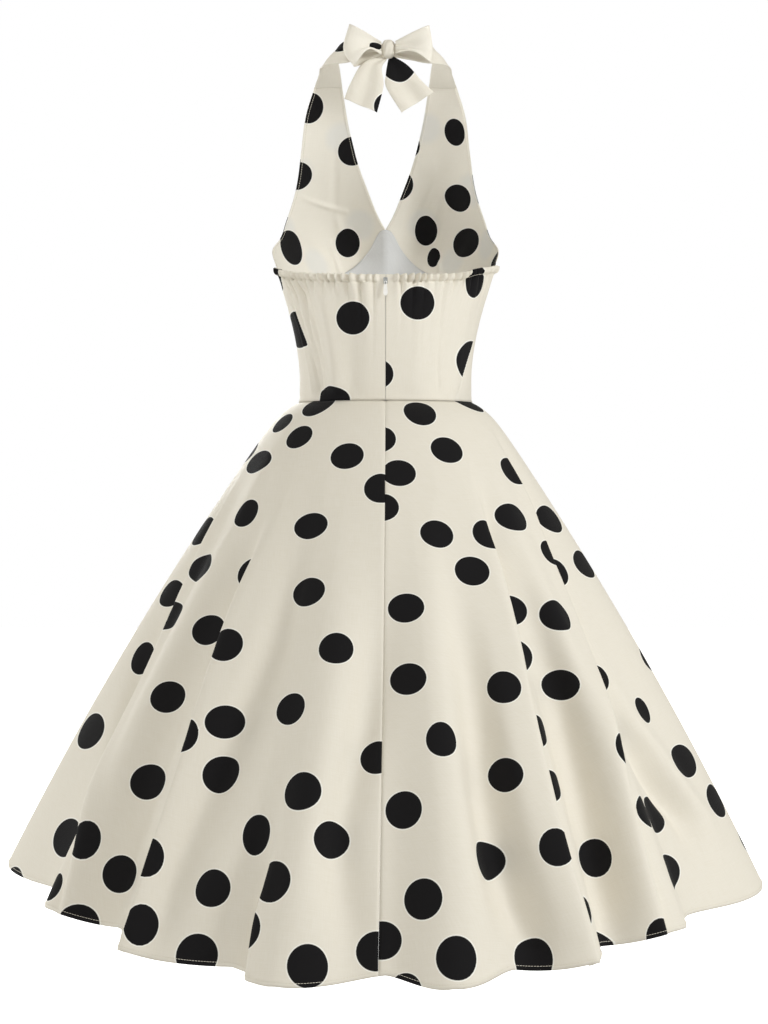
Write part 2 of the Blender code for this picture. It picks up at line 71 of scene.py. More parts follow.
def new_material(name):
    """A material, its node tree and its shader."""
    material = bpy.data.materials.new(name)
    material.use_nodes = True
    return material, material.node_tree, material.node_tree.nodes["Principled BSDF"]


camera = link_object("camera", bpy.data.cameras.new("camera"))
camera.data.sensor_width = SENSOR_MM
camera.data.lens = FOCAL_PX / FRAME_PX[1] * SENSOR_MM
camera.data.shift_x = (FRAME_PX[0] / 2 - EYE_ACROSS_PX) / FRAME_PX[1]
camera.data.shift_y = (EYE_DOWN_PX - FRAME_PX[1] / 2) / FRAME_PX[1]
camera.location = EYE
camera.rotation_euler = Euler((math.pi / 2, 0, math.pi))
bpy.context.scene.camera = camera

FLOOR_HEIGHT = -1.32
FLOOR_SIZE = 14.0
FLOOR_GREY = (0.86, 0.86, 0.86, 1)
FLOOR_ROUGHNESS = 0.9
FLOOR_GLOW = 1.0
PLAIN_WHITE = (1, 1, 1, 1)

bm = bmesh.new()
bmesh.ops.create_grid(bm, x_segments=1, y_segments=1, size=FLOOR_SIZE / 2)
bmesh.ops.translate(bm, vec=(0, 0, FLOOR_HEIGHT), verts=bm.verts)
floor = link_object("floor", mesh_of("floor", bm))
floor_paint, paint_tree, floor_shader = new_material("floor_paint")
floor_shader.inputs["Base Color"].default_value = FLOOR_GREY
floor_shader.inputs["Roughness"].default_value = FLOOR_ROUGHNESS
floor_shader.inputs["Emission Color"].default_value = PLAIN_WHITE
floor_seen = paint_tree.nodes.new("ShaderNodeLightPath")
floor_glow = paint_tree.nodes.new("ShaderNodeMath")
floor_glow.operation = "MULTIPLY"
floor_glow.inputs[1].default_value = FLOOR_GLOW
paint_tree.links.new(floor_seen.outputs["Is Camera Ray"], floor_glow.inputs[0])
paint_tree.links.new(floor_glow.outputs[0], floor_shader.inputs["Emission Strength"])
floor.data.materials.append(floor_paint)

BACKDROP_GLOW = 1.0
ROOM_LIGHT = 0.44
ROOM_COLOUR = (1.0, 0.955, 0.850, 1)

world = bpy.data.worlds.new("studio")
world.use_nodes = True
room = world.node_tree
room_light = room.nodes["Background"]
room_light.inputs["Color"].default_value = ROOM_COLOUR
room_light.inputs["Strength"].default_value = ROOM_LIGHT
backdrop = room.nodes.new("ShaderNodeBackground")
backdrop.inputs["Color"].default_value = PLAIN_WHITE
backdrop.inputs["Strength"].default_value = BACKDROP_GLOW
seen_straight = room.nodes.new("ShaderNodeLightPath")
either = room.nodes.new("ShaderNodeMixShader")
room.links.new(seen_straight.outputs["Is Camera Ray"], either.inputs["Fac"])
room.links.new(room_light.outputs[0], either.inputs[1])
room.links.new(backdrop.outputs[0], either.inputs[2])
room.links.new(either.outputs[0], room.nodes["World Output"].inputs["Surface"])
bpy.context.scene.world = world
bpy.context.scene.view_settings.view_transform = "Standard"

DRESS_MIDDLE = (0, -0.05, -0.55)
SKIRT_MIDDLE = (0, -0.05, -0.75)
INSIDE_RIGHT_CUP = (-0.07, -0.16, -0.17)
EVERY_WAY, NARROW_BEAM = 180, 13
LIGHTS = (  # name, place, width, watts, spread of its beam in degrees, where it points
    ("key", (-2.5, 1.42, 0.5), 0.7, 41.0, EVERY_WAY, DRESS_MIDDLE),
    ("top", (0.2, 2.4, 1.2), 0.8, 15.0, EVERY_WAY, DRESS_MIDDLE),
    ("collar", (0.60, 1.8, 0.30), 0.3, 0.024, NARROW_BEAM, INSIDE_RIGHT_CUP),
    ("fill", (2.4, 0.8, -1.1), 1.2, 10.0, EVERY_WAY, SKIRT_MIDDLE),
    ("rim", (2.6, -0.7, -0.3), 1.0, 15.0, EVERY_WAY, DRESS_MIDDLE),
    ("front", (0.9, -2.7, 0.4), 1.2, 42.0, EVERY_WAY, DRESS_MIDDLE),
)
LIGHT_COLOUR = (0.965, 0.987, 1.0)

for name, place, width, power, spread, target in LIGHTS:
    lamp = link_object(name, bpy.data.lights.new(name, "AREA"))
    lamp.data.size = width
    lamp.data.energy = power
    lamp.data.spread = math.radians(spread)
    lamp.data.color = LIGHT_COLOUR
    lamp.location = place
    towards = Vector(target) - lamp.location
    lamp.rotation_euler = towards.to_track_quat("-Z", "Y").to_euler()


# ---------------------------------------------------------------------------------------------
# The cloth: ivory cotton satin, 170 g/m2, with a fine close weave and a soft sheen. Round black
# dots of 40 mm are printed over it, each with a thin pale rim round the black. The reverse is
# duller, with the dots barely showing through.
# ---------------------------------------------------------------------------------------------
IVORY = (0.828, 0.788, 0.705, 1)
IVORY_SHADE = (0.793, 0.748, 0.652, 1)
# The two facing colours below are the same ivory painted lighter: painted light for the insides of the
# cups, ties and bow, not a paler cloth.
PAINTED_LIGHT_FACING_IVORY = (0.895, 0.858, 0.775, 1)
PAINTED_LIGHT_FACING_SLUB = (0.865, 0.824, 0.735, 1)
REVERSE_IVORY = (0.730, 0.690, 0.590, 1)
DOT_BLACK = (0.0085, 0.0080, 0.0090, 1)
DOT_RIM = (0.900, 0.880, 0.820, 1)
DOT_ON_REVERSE = (0.42, 0.395, 0.34, 1)
DOT_THROUGH_FACING = (0.825, 0.808, 0.760, 1)
DOT_THROUGH_BLUR = 0.014
DOT_RADIUS = 0.020
DOT_RIM_WIDTH = 0.0013
DOT_EDGE_BLUR = 0.0005
RIM_EDGE_BLUR = 0.0006
DOT_FAR = 0.02  # what a point with no dot near it carries as its way past a dot's edge
INK_DULLNESS = 0.25
WEAVE_PITCH = 0.00045
WEAVE_SHARE = 0.25  # how much of the relief is the weave's crossings; the rest is slubs
WEAVE_RELIEF = 0.00025
WEAVE_BUMP = 0.35
SLUBS = (  # fineness across and down, for each metre
    (900.0, 60.0),  # warp
    (45.0, 1100.0),  # weft
    (9.0, 6.0),  # cloud
)
SLUB_DETAIL = 2.0
SLUB_TONES = 0.5  # width of the change from the darker to the lighter ivory
ROUGHNESS_DRIFT = 0.06
SHEEN_ROUGHNESS = 0.45
CLOTH_SPECULAR = 0.14


def feed(tree, socket, value):
    """Gives a socket its value: another socket, a number or a colour."""
    if isinstance(value, bpy.types.NodeSocket):
        tree.links.new(value, socket)
    else:
        socket.default_value = value


def new_group(name, inputs, outputs):
    """An empty shader group with its sockets, and its two end nodes."""
    group = bpy.data.node_groups.new(name, "ShaderNodeTree")
    for socket, kind in inputs:
        group.interface.new_socket(socket, in_out="INPUT", socket_type=kind)
    for socket, kind in outputs:
        group.interface.new_socket(socket, in_out="OUTPUT", socket_type=kind)
    return group, group.nodes.new("NodeGroupInput"), group.nodes.new("NodeGroupOutput")


def add_math(tree, operation, a, b=None):
    """A Math node: a and b are sockets or numbers."""
    node = tree.nodes.new("ShaderNodeMath")
    node.operation = operation
    feed(tree, node.inputs[0], a)
    if b is not None:
        feed(tree, node.inputs[1], b)
    return node.outputs[0]


def add_mix(tree, factor, a, b):
    """A colour Mix node: a and b are sockets or colours."""
    node = tree.nodes.new("ShaderNodeMix")
    node.data_type = "RGBA"
    for place, value in ((0, factor), (6, a), (7, b)):
        feed(tree, node.inputs[place], value)
    return node.outputs[2]


def step_over(tree, value, edge, width):
    """0 below the edge and 1 above it, over a narrow width."""
    node = tree.nodes.new("ShaderNodeMapRange")
    node.interpolation_type = "SMOOTHSTEP"
    tree.links.new(value, node.inputs["Value"])
    node.inputs["From Min"].default_value = edge - width / 2
    node.inputs["From Max"].default_value = edge + width / 2
    return node.outputs["Result"]


print_group, ends_in, ends_out = new_group(
    "dot_print",
    (("Cloth", "NodeSocketColor"), ("Rim", "NodeSocketColor"), ("Dot", "NodeSocketColor"),
     ("Past Edge", "NodeSocketFloat")),
    (("Color", "NodeSocketColor"), ("Ink", "NodeSocketFloat")),
)
outside_dot = step_over(print_group, ends_in.outputs["Past Edge"], 0.0, DOT_EDGE_BLUR)
outside_rim = step_over(print_group, ends_in.outputs["Past Edge"], DOT_RIM_WIDTH, RIM_EDGE_BLUR)
rimmed = add_mix(print_group, outside_rim, ends_in.outputs["Rim"], ends_in.outputs["Cloth"])
dotted = add_mix(print_group, outside_dot, ends_in.outputs["Dot"], rimmed)
print_group.links.new(dotted, ends_out.inputs["Color"])
print_group.links.new(add_math(print_group, "SUBTRACT", 1.0, outside_dot), ends_out.inputs["Ink"])

weave_group, ends_in, ends_out = new_group(
    "fine_weave",
    (("Pitch", "NodeSocketFloat"),),
    (("Height", "NodeSocketFloat"), ("Slub", "NodeSocketFloat"), ("Cloud", "NodeSocketFloat")),
)
cloth_uv = weave_group.nodes.new("ShaderNodeUVMap")
cloth_uv.uv_map = "cut"
split = weave_group.nodes.new("ShaderNodeSeparateXYZ")
weave_group.links.new(cloth_uv.outputs["UV"], split.inputs[0])
threads = []
for thread in split.outputs[:2]:
    turns = add_math(weave_group, "DIVIDE", thread, ends_in.outputs["Pitch"])
    turned = add_math(weave_group, "MULTIPLY", turns, 2 * math.pi)
    threads.append(add_math(weave_group, "SINE", turned))
crossing = add_math(weave_group, "MULTIPLY", threads[0], threads[1])
grains = []
for across, down in SLUBS:
    stretch = weave_group.nodes.new("ShaderNodeMapping")
    stretch.inputs["Scale"].default_value = (across, down, 1)
    grain = weave_group.nodes.new("ShaderNodeTexNoise")
    grain.inputs["Scale"].default_value = 1.0
    grain.inputs["Detail"].default_value = SLUB_DETAIL
    weave_group.links.new(cloth_uv.outputs["UV"], stretch.inputs["Vector"])
    weave_group.links.new(stretch.outputs["Vector"], grain.inputs["Vector"])
    grains.append(grain.outputs["Fac"])
warp, weft, cloud = grains
slub = add_math(weave_group, "MULTIPLY", add_math(weave_group, "ADD", warp, weft), 0.5)
height = add_math(weave_group, "ADD", add_math(weave_group, "MULTIPLY", crossing, WEAVE_SHARE), slub)
weave_group.links.new(height, ends_out.inputs["Height"])
weave_group.links.new(slub, ends_out.inputs["Slub"])
weave_group.links.new(cloud, ends_out.inputs["Cloud"])


def add_group(tree, group, **values):
    """A group placed in a material: each value is a socket, a number or a colour."""
    node = tree.nodes.new("ShaderNodeGroup")
    node.node_tree = group
    for name, value in values.items():
        feed(tree, node.inputs[name.replace("_", " ")], value)
    return node


def add_range(tree, value, low, high):
    """A value from 0 to 1 spread between two others."""
    node = tree.nodes.new("ShaderNodeMapRange")
    node.inputs["To Min"].default_value = low
    node.inputs["To Max"].default_value = high
    tree.links.new(value, node.inputs["Value"])
    return node.outputs["Result"]


def add_relief(tree, shader, height, depth, strength=1.0):
    """Fine relief on a surface, as a bump of so many metres."""
    bump = tree.nodes.new("ShaderNodeBump")
    bump.inputs["Strength"].default_value = strength
    bump.inputs["Distance"].default_value = depth
    tree.links.new(height, bump.inputs["Height"])
    tree.links.new(bump.outputs["Normal"], shader.inputs["Normal"])


def cloth_material(name, light, dark, roughness, sheen,
                   attribute=None, dot=DOT_BLACK, rim=DOT_RIM, behind=None):
    """Woven cloth with slubs and a soft sheen. The attributes are each point's way past a dot's
    edge, on this layer and on the layer behind it, whose dots show through a little."""
    material, tree, shader = new_material(name)
    weave = add_group(tree, weave_group, Pitch=WEAVE_PITCH)
    slub = weave.outputs["Slub"]
    colour = add_mix(tree, step_over(tree, slub, 0.5, SLUB_TONES), dark, light)
    if behind:
        past_behind = tree.nodes.new("ShaderNodeAttribute")
        past_behind.attribute_name = behind
        clear = step_over(tree, past_behind.outputs["Fac"], 0.0, DOT_THROUGH_BLUR)
        colour = add_mix(tree, clear, DOT_THROUGH_FACING, colour)
    if attribute:
        past = tree.nodes.new("ShaderNodeAttribute")
        past.attribute_name = attribute
        dots = add_group(tree, print_group, Cloth=colour, Rim=rim, Dot=dot, Past_Edge=past.outputs["Fac"])
        colour = dots.outputs["Color"]
    tree.links.new(colour, shader.inputs["Base Color"])
    dullness = add_range(tree, slub, roughness - ROUGHNESS_DRIFT, roughness + ROUGHNESS_DRIFT)
    if attribute:
        ink_dullness = add_math(tree, "MULTIPLY", dots.outputs["Ink"], INK_DULLNESS)
        dullness = add_math(tree, "ADD", dullness, ink_dullness)
    tree.links.new(dullness, shader.inputs["Roughness"])
    add_relief(tree, shader, weave.outputs["Height"], WEAVE_RELIEF, WEAVE_BUMP)
    shader.inputs["Sheen Weight"].default_value = sheen
    shader.inputs["Sheen Roughness"].default_value = SHEEN_ROUGHNESS
    shader.inputs["Specular IOR Level"].default_value = CLOTH_SPECULAR
    return material


face_cloth = cloth_material(
    "ivory_dotted_cloth", IVORY, IVORY_SHADE, roughness=0.58, sheen=0.03, attribute="past_dot",
)
# The halter's facing takes the lighter facing ivory: painted light on the inside of the cups.
facing_cloth_painted_light = cloth_material(
    "ivory_dotted_facing_painted_light", PAINTED_LIGHT_FACING_IVORY, PAINTED_LIGHT_FACING_SLUB, roughness=0.6, sheen=0.03,
    attribute="past_inner_dot", behind="past_dot",
)
# The inner faces of the ties and bow also take the lighter facing ivory: painted light.
band_facing = cloth_material(
    "ivory_band_facing_painted_light", PAINTED_LIGHT_FACING_IVORY, PAINTED_LIGHT_FACING_SLUB, roughness=0.6, sheen=0.03, attribute="past_inner_dot",
)
reverse_cloth = cloth_material(
    "ivory_reverse", REVERSE_IVORY, IVORY_SHADE, roughness=0.7, sheen=0.05,
    attribute="past_dot", dot=DOT_ON_REVERSE, rim=REVERSE_IVORY,
)


def flow(stations, values, at):
    """Reads a smooth curve that passes through the values at the stations."""
    stations = np.asarray(stations, float)
    values = np.asarray(values, float)
    at = np.asarray(at, float)
    slopes = np.gradient(values, stations, axis=0)
    i = np.clip(np.searchsorted(stations, at, side="right") - 1, 0, len(stations) - 2)
    span = stations[i + 1] - stations[i]
    u = (at - stations[i]) / span
    if values.ndim > 1:
        span, u = span[..., None], u[..., None]
    start = (1 + 2 * u) * (1 - u) ** 2
    end = u * u * (3 - 2 * u)
    leave = u * (1 - u) ** 2 * span
    arrive = u * u * (u - 1) * span
    return start * values[i] + end * values[i + 1] + leave * slopes[i] + arrive * slopes[i + 1]


def ease(x):
    """Goes smoothly from 0 to 1 as x does."""
    x = np.clip(x, 0.0, 1.0)
    return x * x * (3 - 2 * x)


def mix(a, b, share):
    """Goes from a to b as share goes from 0 to 1."""
    return a + (b - a) * share


def column(table, name):
    """One named column of a table."""
    return np.array([row[name] for row in table])


def stack(x, y, z):
    """Points from their three coordinates, each a number or a grid."""
    return np.stack(np.broadcast_arrays(x, y, z), axis=-1)


printed = {}  # each sheet of cloth by its name, with all that the stitches and the print need


def grid_mesh(name, points):
    """A mesh over a grid of points [across, down], and each vertex's place in that grid."""
    n_across, n_down = points.shape[:2]
    bm = bmesh.new()
    bmesh.ops.create_grid(bm, x_segments=n_across - 1, y_segments=n_down - 1, size=0.5)
    mesh = mesh_of(name, bm)
    flat = np.empty(len(mesh.vertices) * 3)
    mesh.vertices.foreach_get("co", flat)
    flat = flat.reshape(-1, 3)
    i = np.rint((flat[:, 0] + 0.5) * (n_across - 1)).astype(int)
    j = np.rint((flat[:, 1] + 0.5) * (n_down - 1)).astype(int)
    mesh.vertices.foreach_set("co", points[i, j].ravel())
    mesh.shade_smooth()
    return mesh, i, j


def sew_piece(node, points, wall, outer, inner, facing_dots=False):
    """A shell of cloth over a grid of points [across, down]. Its UV map is its flat cut, in metres.
    facing_dots is for a piece whose inner face shows from the back, with dots of its own."""
    name = f"{node}_cloth"
    n_across, n_down = points.shape[:2]
    mesh, i, j = grid_mesh(name, points)
    steps_across = np.linalg.norm(np.diff(points, axis=0), axis=2)
    steps_down = np.linalg.norm(np.diff(points, axis=1), axis=2)
    across = np.vstack([np.zeros((1, n_down)), np.cumsum(steps_across, axis=0)])
    down = np.hstack([np.zeros((n_across, 1)), np.cumsum(steps_down, axis=1)])
    corner = np.empty(len(mesh.loops), int)
    mesh.loops.foreach_get("vertex_index", corner)
    cut = mesh.uv_layers.new(name="cut")
    cut.data.foreach_set("uv", np.stack([across[i, j], down[i, j]], axis=1)[corner].ravel())
    piece = link_object(name, mesh)
    mesh.materials.append(outer)
    mesh.materials.append(inner)
    shell = piece.modifiers.new("wall", "SOLIDIFY")
    shell.thickness = wall
    shell.offset = -1.0
    shell.use_quality_normals = True
    shell.material_offset = 1
    printed[name] = {
        "piece": piece, "points": points, "wall": wall, "facing": facing_dots,
        "across": across, "down": down, "i": i, "j": j,
    }
    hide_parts(node)
    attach(piece, "dress")
    return piece


def outward_of(points):
    """The outward directions of a grid of points [across, down]."""
    outward = np.cross(np.gradient(points, axis=0), np.gradient(points, axis=1))
    return outward / np.linalg.norm(outward, axis=-1, keepdims=True)


# ---------------------------------------------------------------------------------------------
# Skirt: about three-fifths of a circle of the dotted cloth in three panels, a wide front and two
# halves of the back. It hangs in flutes and lapped folds and has a narrow turned hem.
# ---------------------------------------------------------------------------------------------
BODY_AXIS_Y = -0.0735
WAIST_HEIGHT = -0.418
HEIGHT, HALF_WIDTH, BACK, FRONT = range(4)
FIGURE = (  # height, half width, y at centre back, y at centre front
    (-0.418, 0.1065, 0.0130, -0.1600),
    (-0.374, 0.1072, 0.0130, -0.1640),
    (-0.340, 0.1120, 0.0140, -0.1690),
    (-0.306, 0.1200, 0.0160, -0.1740),
    (-0.280, 0.1274, 0.0180, -0.1780),
    (-0.257, 0.1330, 0.0190, -0.1810),
    (-0.236, 0.1402, 0.0190, -0.1825),
    (-0.185, 0.1480, 0.0190, -0.1790),
    (-0.140, 0.1480, 0.0190, -0.1680),
    (-0.100, 0.1480, 0.0190, -0.1520),
    (-0.050, 0.1450, 0.0190, -0.1260),
    (-0.020, 0.1350, 0.0190, -0.1050),
)
BUST_ACROSS, BUST_HEIGHT, BUST_OUT = 0.076, -0.208, 0.046
BUST_SPREAD, BUST_RISE, BUST_FALL = 0.043, 0.060, 0.040

SEAM_GAP = 0.0001
SKIRT_WALL = 0.0009
SKIRT_RADIUS = 0.4600
SKIRT_SPRING = 0.12
SKIRT_KICK = 0.045
SKIRT_KICK_LENGTH = 0.02
SKIRT_DROOP = 0.06
FLUTES_SQUARE_UP = 0.3  # how far down the angles go over from the waist's oval to the flutes' own
FLUTE_SAG = 0.0030
FLUTE_DEEPENING = 1.15
AT, OUT, DROP, STARTS = range(4)
FLUTES = (  # ridges and valleys in turn: angle, radius at the hem, drop from the waist, start down
    (-168.0, 0.452, 0.584, 0.22),
    (-156.0, 0.420, 0.578, 0.22),
    (-143.0, 0.458, 0.578, 0.12),
    (-127.0, 0.413, 0.572, 0.12),
    (-113.0, 0.456, 0.576, 0.18),
    (-98.0, 0.420, 0.578, 0.18),
    (-84.0, 0.461, 0.586, 0.04),
    (-58.0, 0.400, 0.583, 0.04),
    (-45.5, 0.439, 0.574, 0.12),
    (-36.0, 0.397, 0.587, 0.12),
    (-28.5, 0.451, 0.585, 0.20),
    (-18.0, 0.427, 0.588, 0.20),
    (-8.5, 0.456, 0.595, 0.35),
    (0.0, 0.425, 0.589, 0.35),
    (14.0, 0.459, 0.594, 0.40),
    (21.5, 0.428, 0.588, 0.40),
    (36.5, 0.458, 0.580, 0.16),
    (44.5, 0.409, 0.576, 0.16),
    (54.0, 0.456, 0.561, 0.08),
    (65.5, 0.412, 0.564, 0.08),
    (85.0, 0.462, 0.562, 0.14),
    (99.0, 0.418, 0.566, 0.14),
    (112.0, 0.458, 0.566, 0.20),
    (124.0, 0.420, 0.572, 0.20),
    (138.0, 0.461, 0.574, 0.12),
    (149.0, 0.414, 0.578, 0.12),
    (163.0, 0.455, 0.584, 0.25),
    (177.0, 0.424, 0.586, 0.25),
)
SKIRT_PANELS = {  # panel: angles from the centre back seam, and the step of its grid
    "skirt_back_left": (0, 90, 0.0037),
    "skirt_front": (90, 270, 0.0050),
    "skirt_back_right": (270, 360, 0.0037),
}
SEAM_LEAN = 1.0
SEAM_LEAN_SPREAD = 14.0
HEM_DEPTH = 0.0052
HEM_RISE = 0.0005
HEM_STEP = 0.0025
HEM_ROLL = 0.0016
HEM_ROLL_DEPTH = 0.004
SIDE_SEAM_SINK = 0.0007
SIDE_SEAM_WIDTH = 0.0022
SKIRT_LENGTH = 0.69
CREASE_GROWTH = 0.42
CREASE_RUN_ON = 0.12
CREASE_FADE = 0.2
FOLD_GROWTH = 0.22
FOLD_AT_TOP = 0.7
FOLD_OPENS = 0.10
FOLD_REACH = 1.0
FOLD_GAP = 0.2
GAP = 2  # marks the narrow strip on a fold's edge that the ink of no dot beside it crosses
LAPPED_FOLDS = (  # depth, lap and width at the hem; the fold's line as (share down, angle)
    (0.0075, 0.0070, 0.0100,
     ((0.12, 78), (0.33, 71), (0.50, 67), (0.70, 60.5), (0.86, 54.2), (1.0, 51.8))),
    (0.0070, 0.0075, 0.0100,
     ((0.22, 41.5), (0.33, 41), (0.46, 39.6), (0.70, 37.4), (0.88, 37.1), (1.0, 36.8))),
    (0.0050, 0.0050, 0.0080, ((0.72, 16.6), (0.84, 17.2), (0.92, 18), (1.0, 17.9))),
    (0.0080, 0.0070, 0.0105,
     ((0.02, -60), (0.22, -61.5), (0.35, -57.4), (0.49, -53.6), (0.60, -49.0), (0.70, -46.3),
      (0.86, -44.3), (1.0, -43.6))),
    (0.0075, 0.0080, 0.0095, ((0.14, -37), (0.36, -32.5), (0.60, -29.1), (0.80, -28.2), (1.0, -28.6))),
    (0.0060, 0.0050, 0.0100, ((0.25, 104), (0.60, 107), (1.0, 105))),
    (0.0060, 0.0055, 0.0100, ((0.35, 136), (0.70, 130), (1.0, 131))),
    (0.0055, 0.0050, 0.0100, ((0.40, 158), (0.75, 157), (1.0, 156.5))),
    (0.0060, 0.0050, 0.0100, ((0.30, 196), (0.65, 199), (1.0, 197))),
    (0.0060, 0.0055, 0.0100, ((0.20, 226), (0.60, 224), (1.0, 225))),
    (0.0060, 0.0050, 0.0100, ((0.30, 251), (0.60, 254), (1.0, 255))),
)
SOFT_CREASES = (  # height of the ridge, or depth of the trough where below 0; width; line
    (-0.0170, 0.0150, ((0.30, 73), (0.55, 71), (0.70, 66), (0.78, 63.5))),
    (0.0060, 0.0160, ((0.50, 51), (0.75, 49.5), (0.95, 49))),
    (0.0060, 0.0120, ((0.40, 46), (0.75, 45), (0.95, 46))),
    (-0.0150, 0.0170, ((0.12, 31), (0.33, 26), (0.44, 25), (0.67, 29.5), (0.80, 31.5), (0.95, 32.5))),
    (0.0070, 0.0150, ((0.55, 21), (0.70, 22), (0.90, 27))),
    (0.0080, 0.0180, ((0.15, 16), (0.33, 13), (0.55, 10.5), (0.90, 12))),
    (-0.0130, 0.0160, ((0.24, 0.5), (0.45, 1), (0.60, 3.5), (0.78, 6.5), (0.95, 4))),
    (0.0080, 0.0180, ((0.15, -12), (0.60, -11.5), (0.95, -12.5))),
    (-0.0180, 0.0150, ((0.32, -18), (0.60, -18), (0.79, -17.5), (0.97, -20.5))),
    (0.0090, 0.0140, ((0.30, -25.5), (0.72, -24), (0.97, -26.5))),
    (-0.0150, 0.0130, ((0.28, -40), (0.60, -39), (0.97, -37))),
    (0.0080, 0.0130, ((0.25, -46), (0.62, -44.5), (0.97, -42))),
    (-0.0220, 0.0150, ((0.42, -56), (0.62, -57.5), (0.71, -61), (0.78, -63.5), (0.84, -66.5))),
    (0.0100, 0.0140, ((0.42, -62), (0.62, -62.5), (0.71, -66.5), (0.78, -69), (0.84, -72))),
    (-0.0035, 0.0180, ((0.30, 97), (0.60, 93), (1.0, 95))),
    (0.0035, 0.0200, ((0.20, 121), (0.60, 119), (1.0, 117))),
    (-0.0040, 0.0160, ((0.30, 148), (0.65, 149), (1.0, 147))),
    (0.0030, 0.0150, ((0.40, 176), (0.75, 172), (1.0, 171))),
    (-0.0035, 0.0170, ((0.25, 184), (0.60, 187), (1.0, 185))),
    (0.0035, 0.0180, ((0.15, 211), (0.60, 213), (1.0, 210))),
    (-0.0040, 0.0160, ((0.35, 238), (0.70, 240), (1.0, 241))),
    (-0.0030, 0.0160, ((0.25, 262), (0.60, 264), (1.0, 266))),
)


def figure(angle, height):
    """The figure that the dress is cut for: a point at an angle from centre back, and a height."""
    angle, height = np.broadcast_arrays(np.asarray(angle, float), height)
    heights = column(FIGURE, HEIGHT)
    half_width = flow(heights, column(FIGURE, HALF_WIDTH), height)
    back = flow(heights, column(FIGURE, BACK), height)
    front = flow(heights, column(FIGURE, FRONT), height)
    x = half_width * np.sin(np.radians(angle))
    ahead = np.cos(np.radians(angle))
    beside = (np.abs(x) - BUST_ACROSS) / BUST_SPREAD
    above = (height - BUST_HEIGHT) / np.where(height > BUST_HEIGHT, BUST_RISE, BUST_FALL)
    bust = BUST_OUT * np.maximum(0, -ahead) * np.exp(-(beside**2 + above**2) / 2)
    depth = np.where(ahead >= 0, back - BODY_AXIS_Y, BODY_AXIS_Y - front)
    return stack(x, BODY_AXIS_Y + ahead * depth - bust, height)


def skirt_form(angle, down):
    """A point of the skirt: down is 0 at the waist and 1 at the hem."""
    angle, down = np.broadcast_arrays(np.asarray(angle, float), down)
    stops = np.array(FLUTES + ((FLUTES[0][AT] + 360, *FLUTES[0][1:]),))
    turned = (angle - stops[0, AT]) % 360 + stops[0, AT]
    i = np.clip(np.searchsorted(stops[:, AT], turned, side="right") - 1, 0, len(stops) - 2)
    share = (turned - stops[i, AT]) / (stops[i + 1, AT] - stops[i, AT])
    radius = mix(stops[i, OUT], stops[i + 1, OUT], ease(share))
    drop = mix(stops[i, DROP], stops[i + 1, DROP], ease(share)) + FLUTE_SAG * np.sin(np.pi * share)
    starts = mix(stops[i, STARTS], stops[i + 1, STARTS], ease(share))
    waist = figure(angle, WAIST_HEIGHT)
    waist_radius = np.hypot(waist[..., 0], waist[..., 1] - BODY_AXIS_Y)
    deepening = np.maximum(0.0, (down - starts) / (1 - starts)) ** FLUTE_DEEPENING
    kick = SKIRT_KICK * (1 - np.exp(-down / SKIRT_KICK_LENGTH))
    flare = down + (SKIRT_SPRING * down + kick) * (1 - down)
    reach = mix(waist_radius, SKIRT_RADIUS, flare) + (radius - SKIRT_RADIUS) * deepening
    heading = np.degrees(np.arctan2(waist[..., 0], waist[..., 1] - BODY_AXIS_Y))
    heading = heading + ((angle - heading + 180) % 360 - 180) * ease(down / FLUTES_SQUARE_UP)
    turn = np.radians(heading)
    fall = SEAM_GAP + drop * (down - SKIRT_DROOP * down * (1 - down))
    return stack(reach * np.sin(turn), BODY_AXIS_Y + reach * np.cos(turn), WAIST_HEIGHT - fall)


def beside_line(angle, down, radius, line):
    """How far a point of the skirt is from a crease's line, in metres round the body."""
    stops = np.array(line, float)
    at = flow(stops[:, 0], stops[:, 1], np.clip(down, stops[0, 0], stops[-1, 0]))
    return np.radians((angle - at + 180) % 360 - 180) * radius


def skirt_creased(angle, down):
    """The skirt with its lapped folds, soft creases, leaning back seam and turned hem."""
    angle, down = np.broadcast_arrays(np.asarray(angle, float), down)
    near_seam = (angle + 180) % 360 - 180
    lean = SEAM_LEAN * down * np.exp(-np.abs(near_seam / SEAM_LEAN_SPREAD))
    points = skirt_form(angle + lean, down)
    radius = np.hypot(points[..., 0], points[..., 1] - BODY_AXIS_Y)
    outward = outward_of(points)
    round_body = stack(points[..., 1] - BODY_AXIS_Y, -points[..., 0], 0 * down)
    round_body = round_body / np.linalg.norm(round_body, axis=-1, keepdims=True)
    out = 0 * down
    aside = 0 * down
    for depth, lap, width, line in LAPPED_FOLDS:
        away = 1 if 0 < line[-1][1] < 180 else -1
        u = away * beside_line(angle, down, radius, line) / width
        grown = ease((down - line[0][0]) / FOLD_GROWTH) * mix(FOLD_AT_TOP, 1.0, down)
        fold = -u * np.exp((1 - u * u) / 2) * grown
        out = out + depth * fold
        aside = aside + lap * fold * away
    for height, width, line in SOFT_CREASES:
        u = beside_line(angle, down, radius, line) / width
        grown = ease((down - line[0][0]) / CREASE_GROWTH)
        if line[-1][0] < 1:
            grown = grown * ease((line[-1][0] + CREASE_RUN_ON - down) / CREASE_FADE)
        out = out + height * np.exp(-u * u / 2) * grown
    at_side = np.minimum(np.abs(near_seam - 90), np.abs(near_seam + 90))
    at_seam = np.radians(np.minimum(at_side, np.abs(near_seam))) * radius / SIDE_SEAM_WIDTH
    out = out - SIDE_SEAM_SINK * np.exp(-at_seam**2)
    from_hem = (1 - down) * SKIRT_LENGTH
    out = out + HEM_RISE * ease((HEM_DEPTH - from_hem) / HEM_STEP)
    out = out - HEM_ROLL * ease(1 - from_hem / HEM_ROLL_DEPTH) ** 2
    return points + outward * out[..., None] + round_body * aside[..., None]


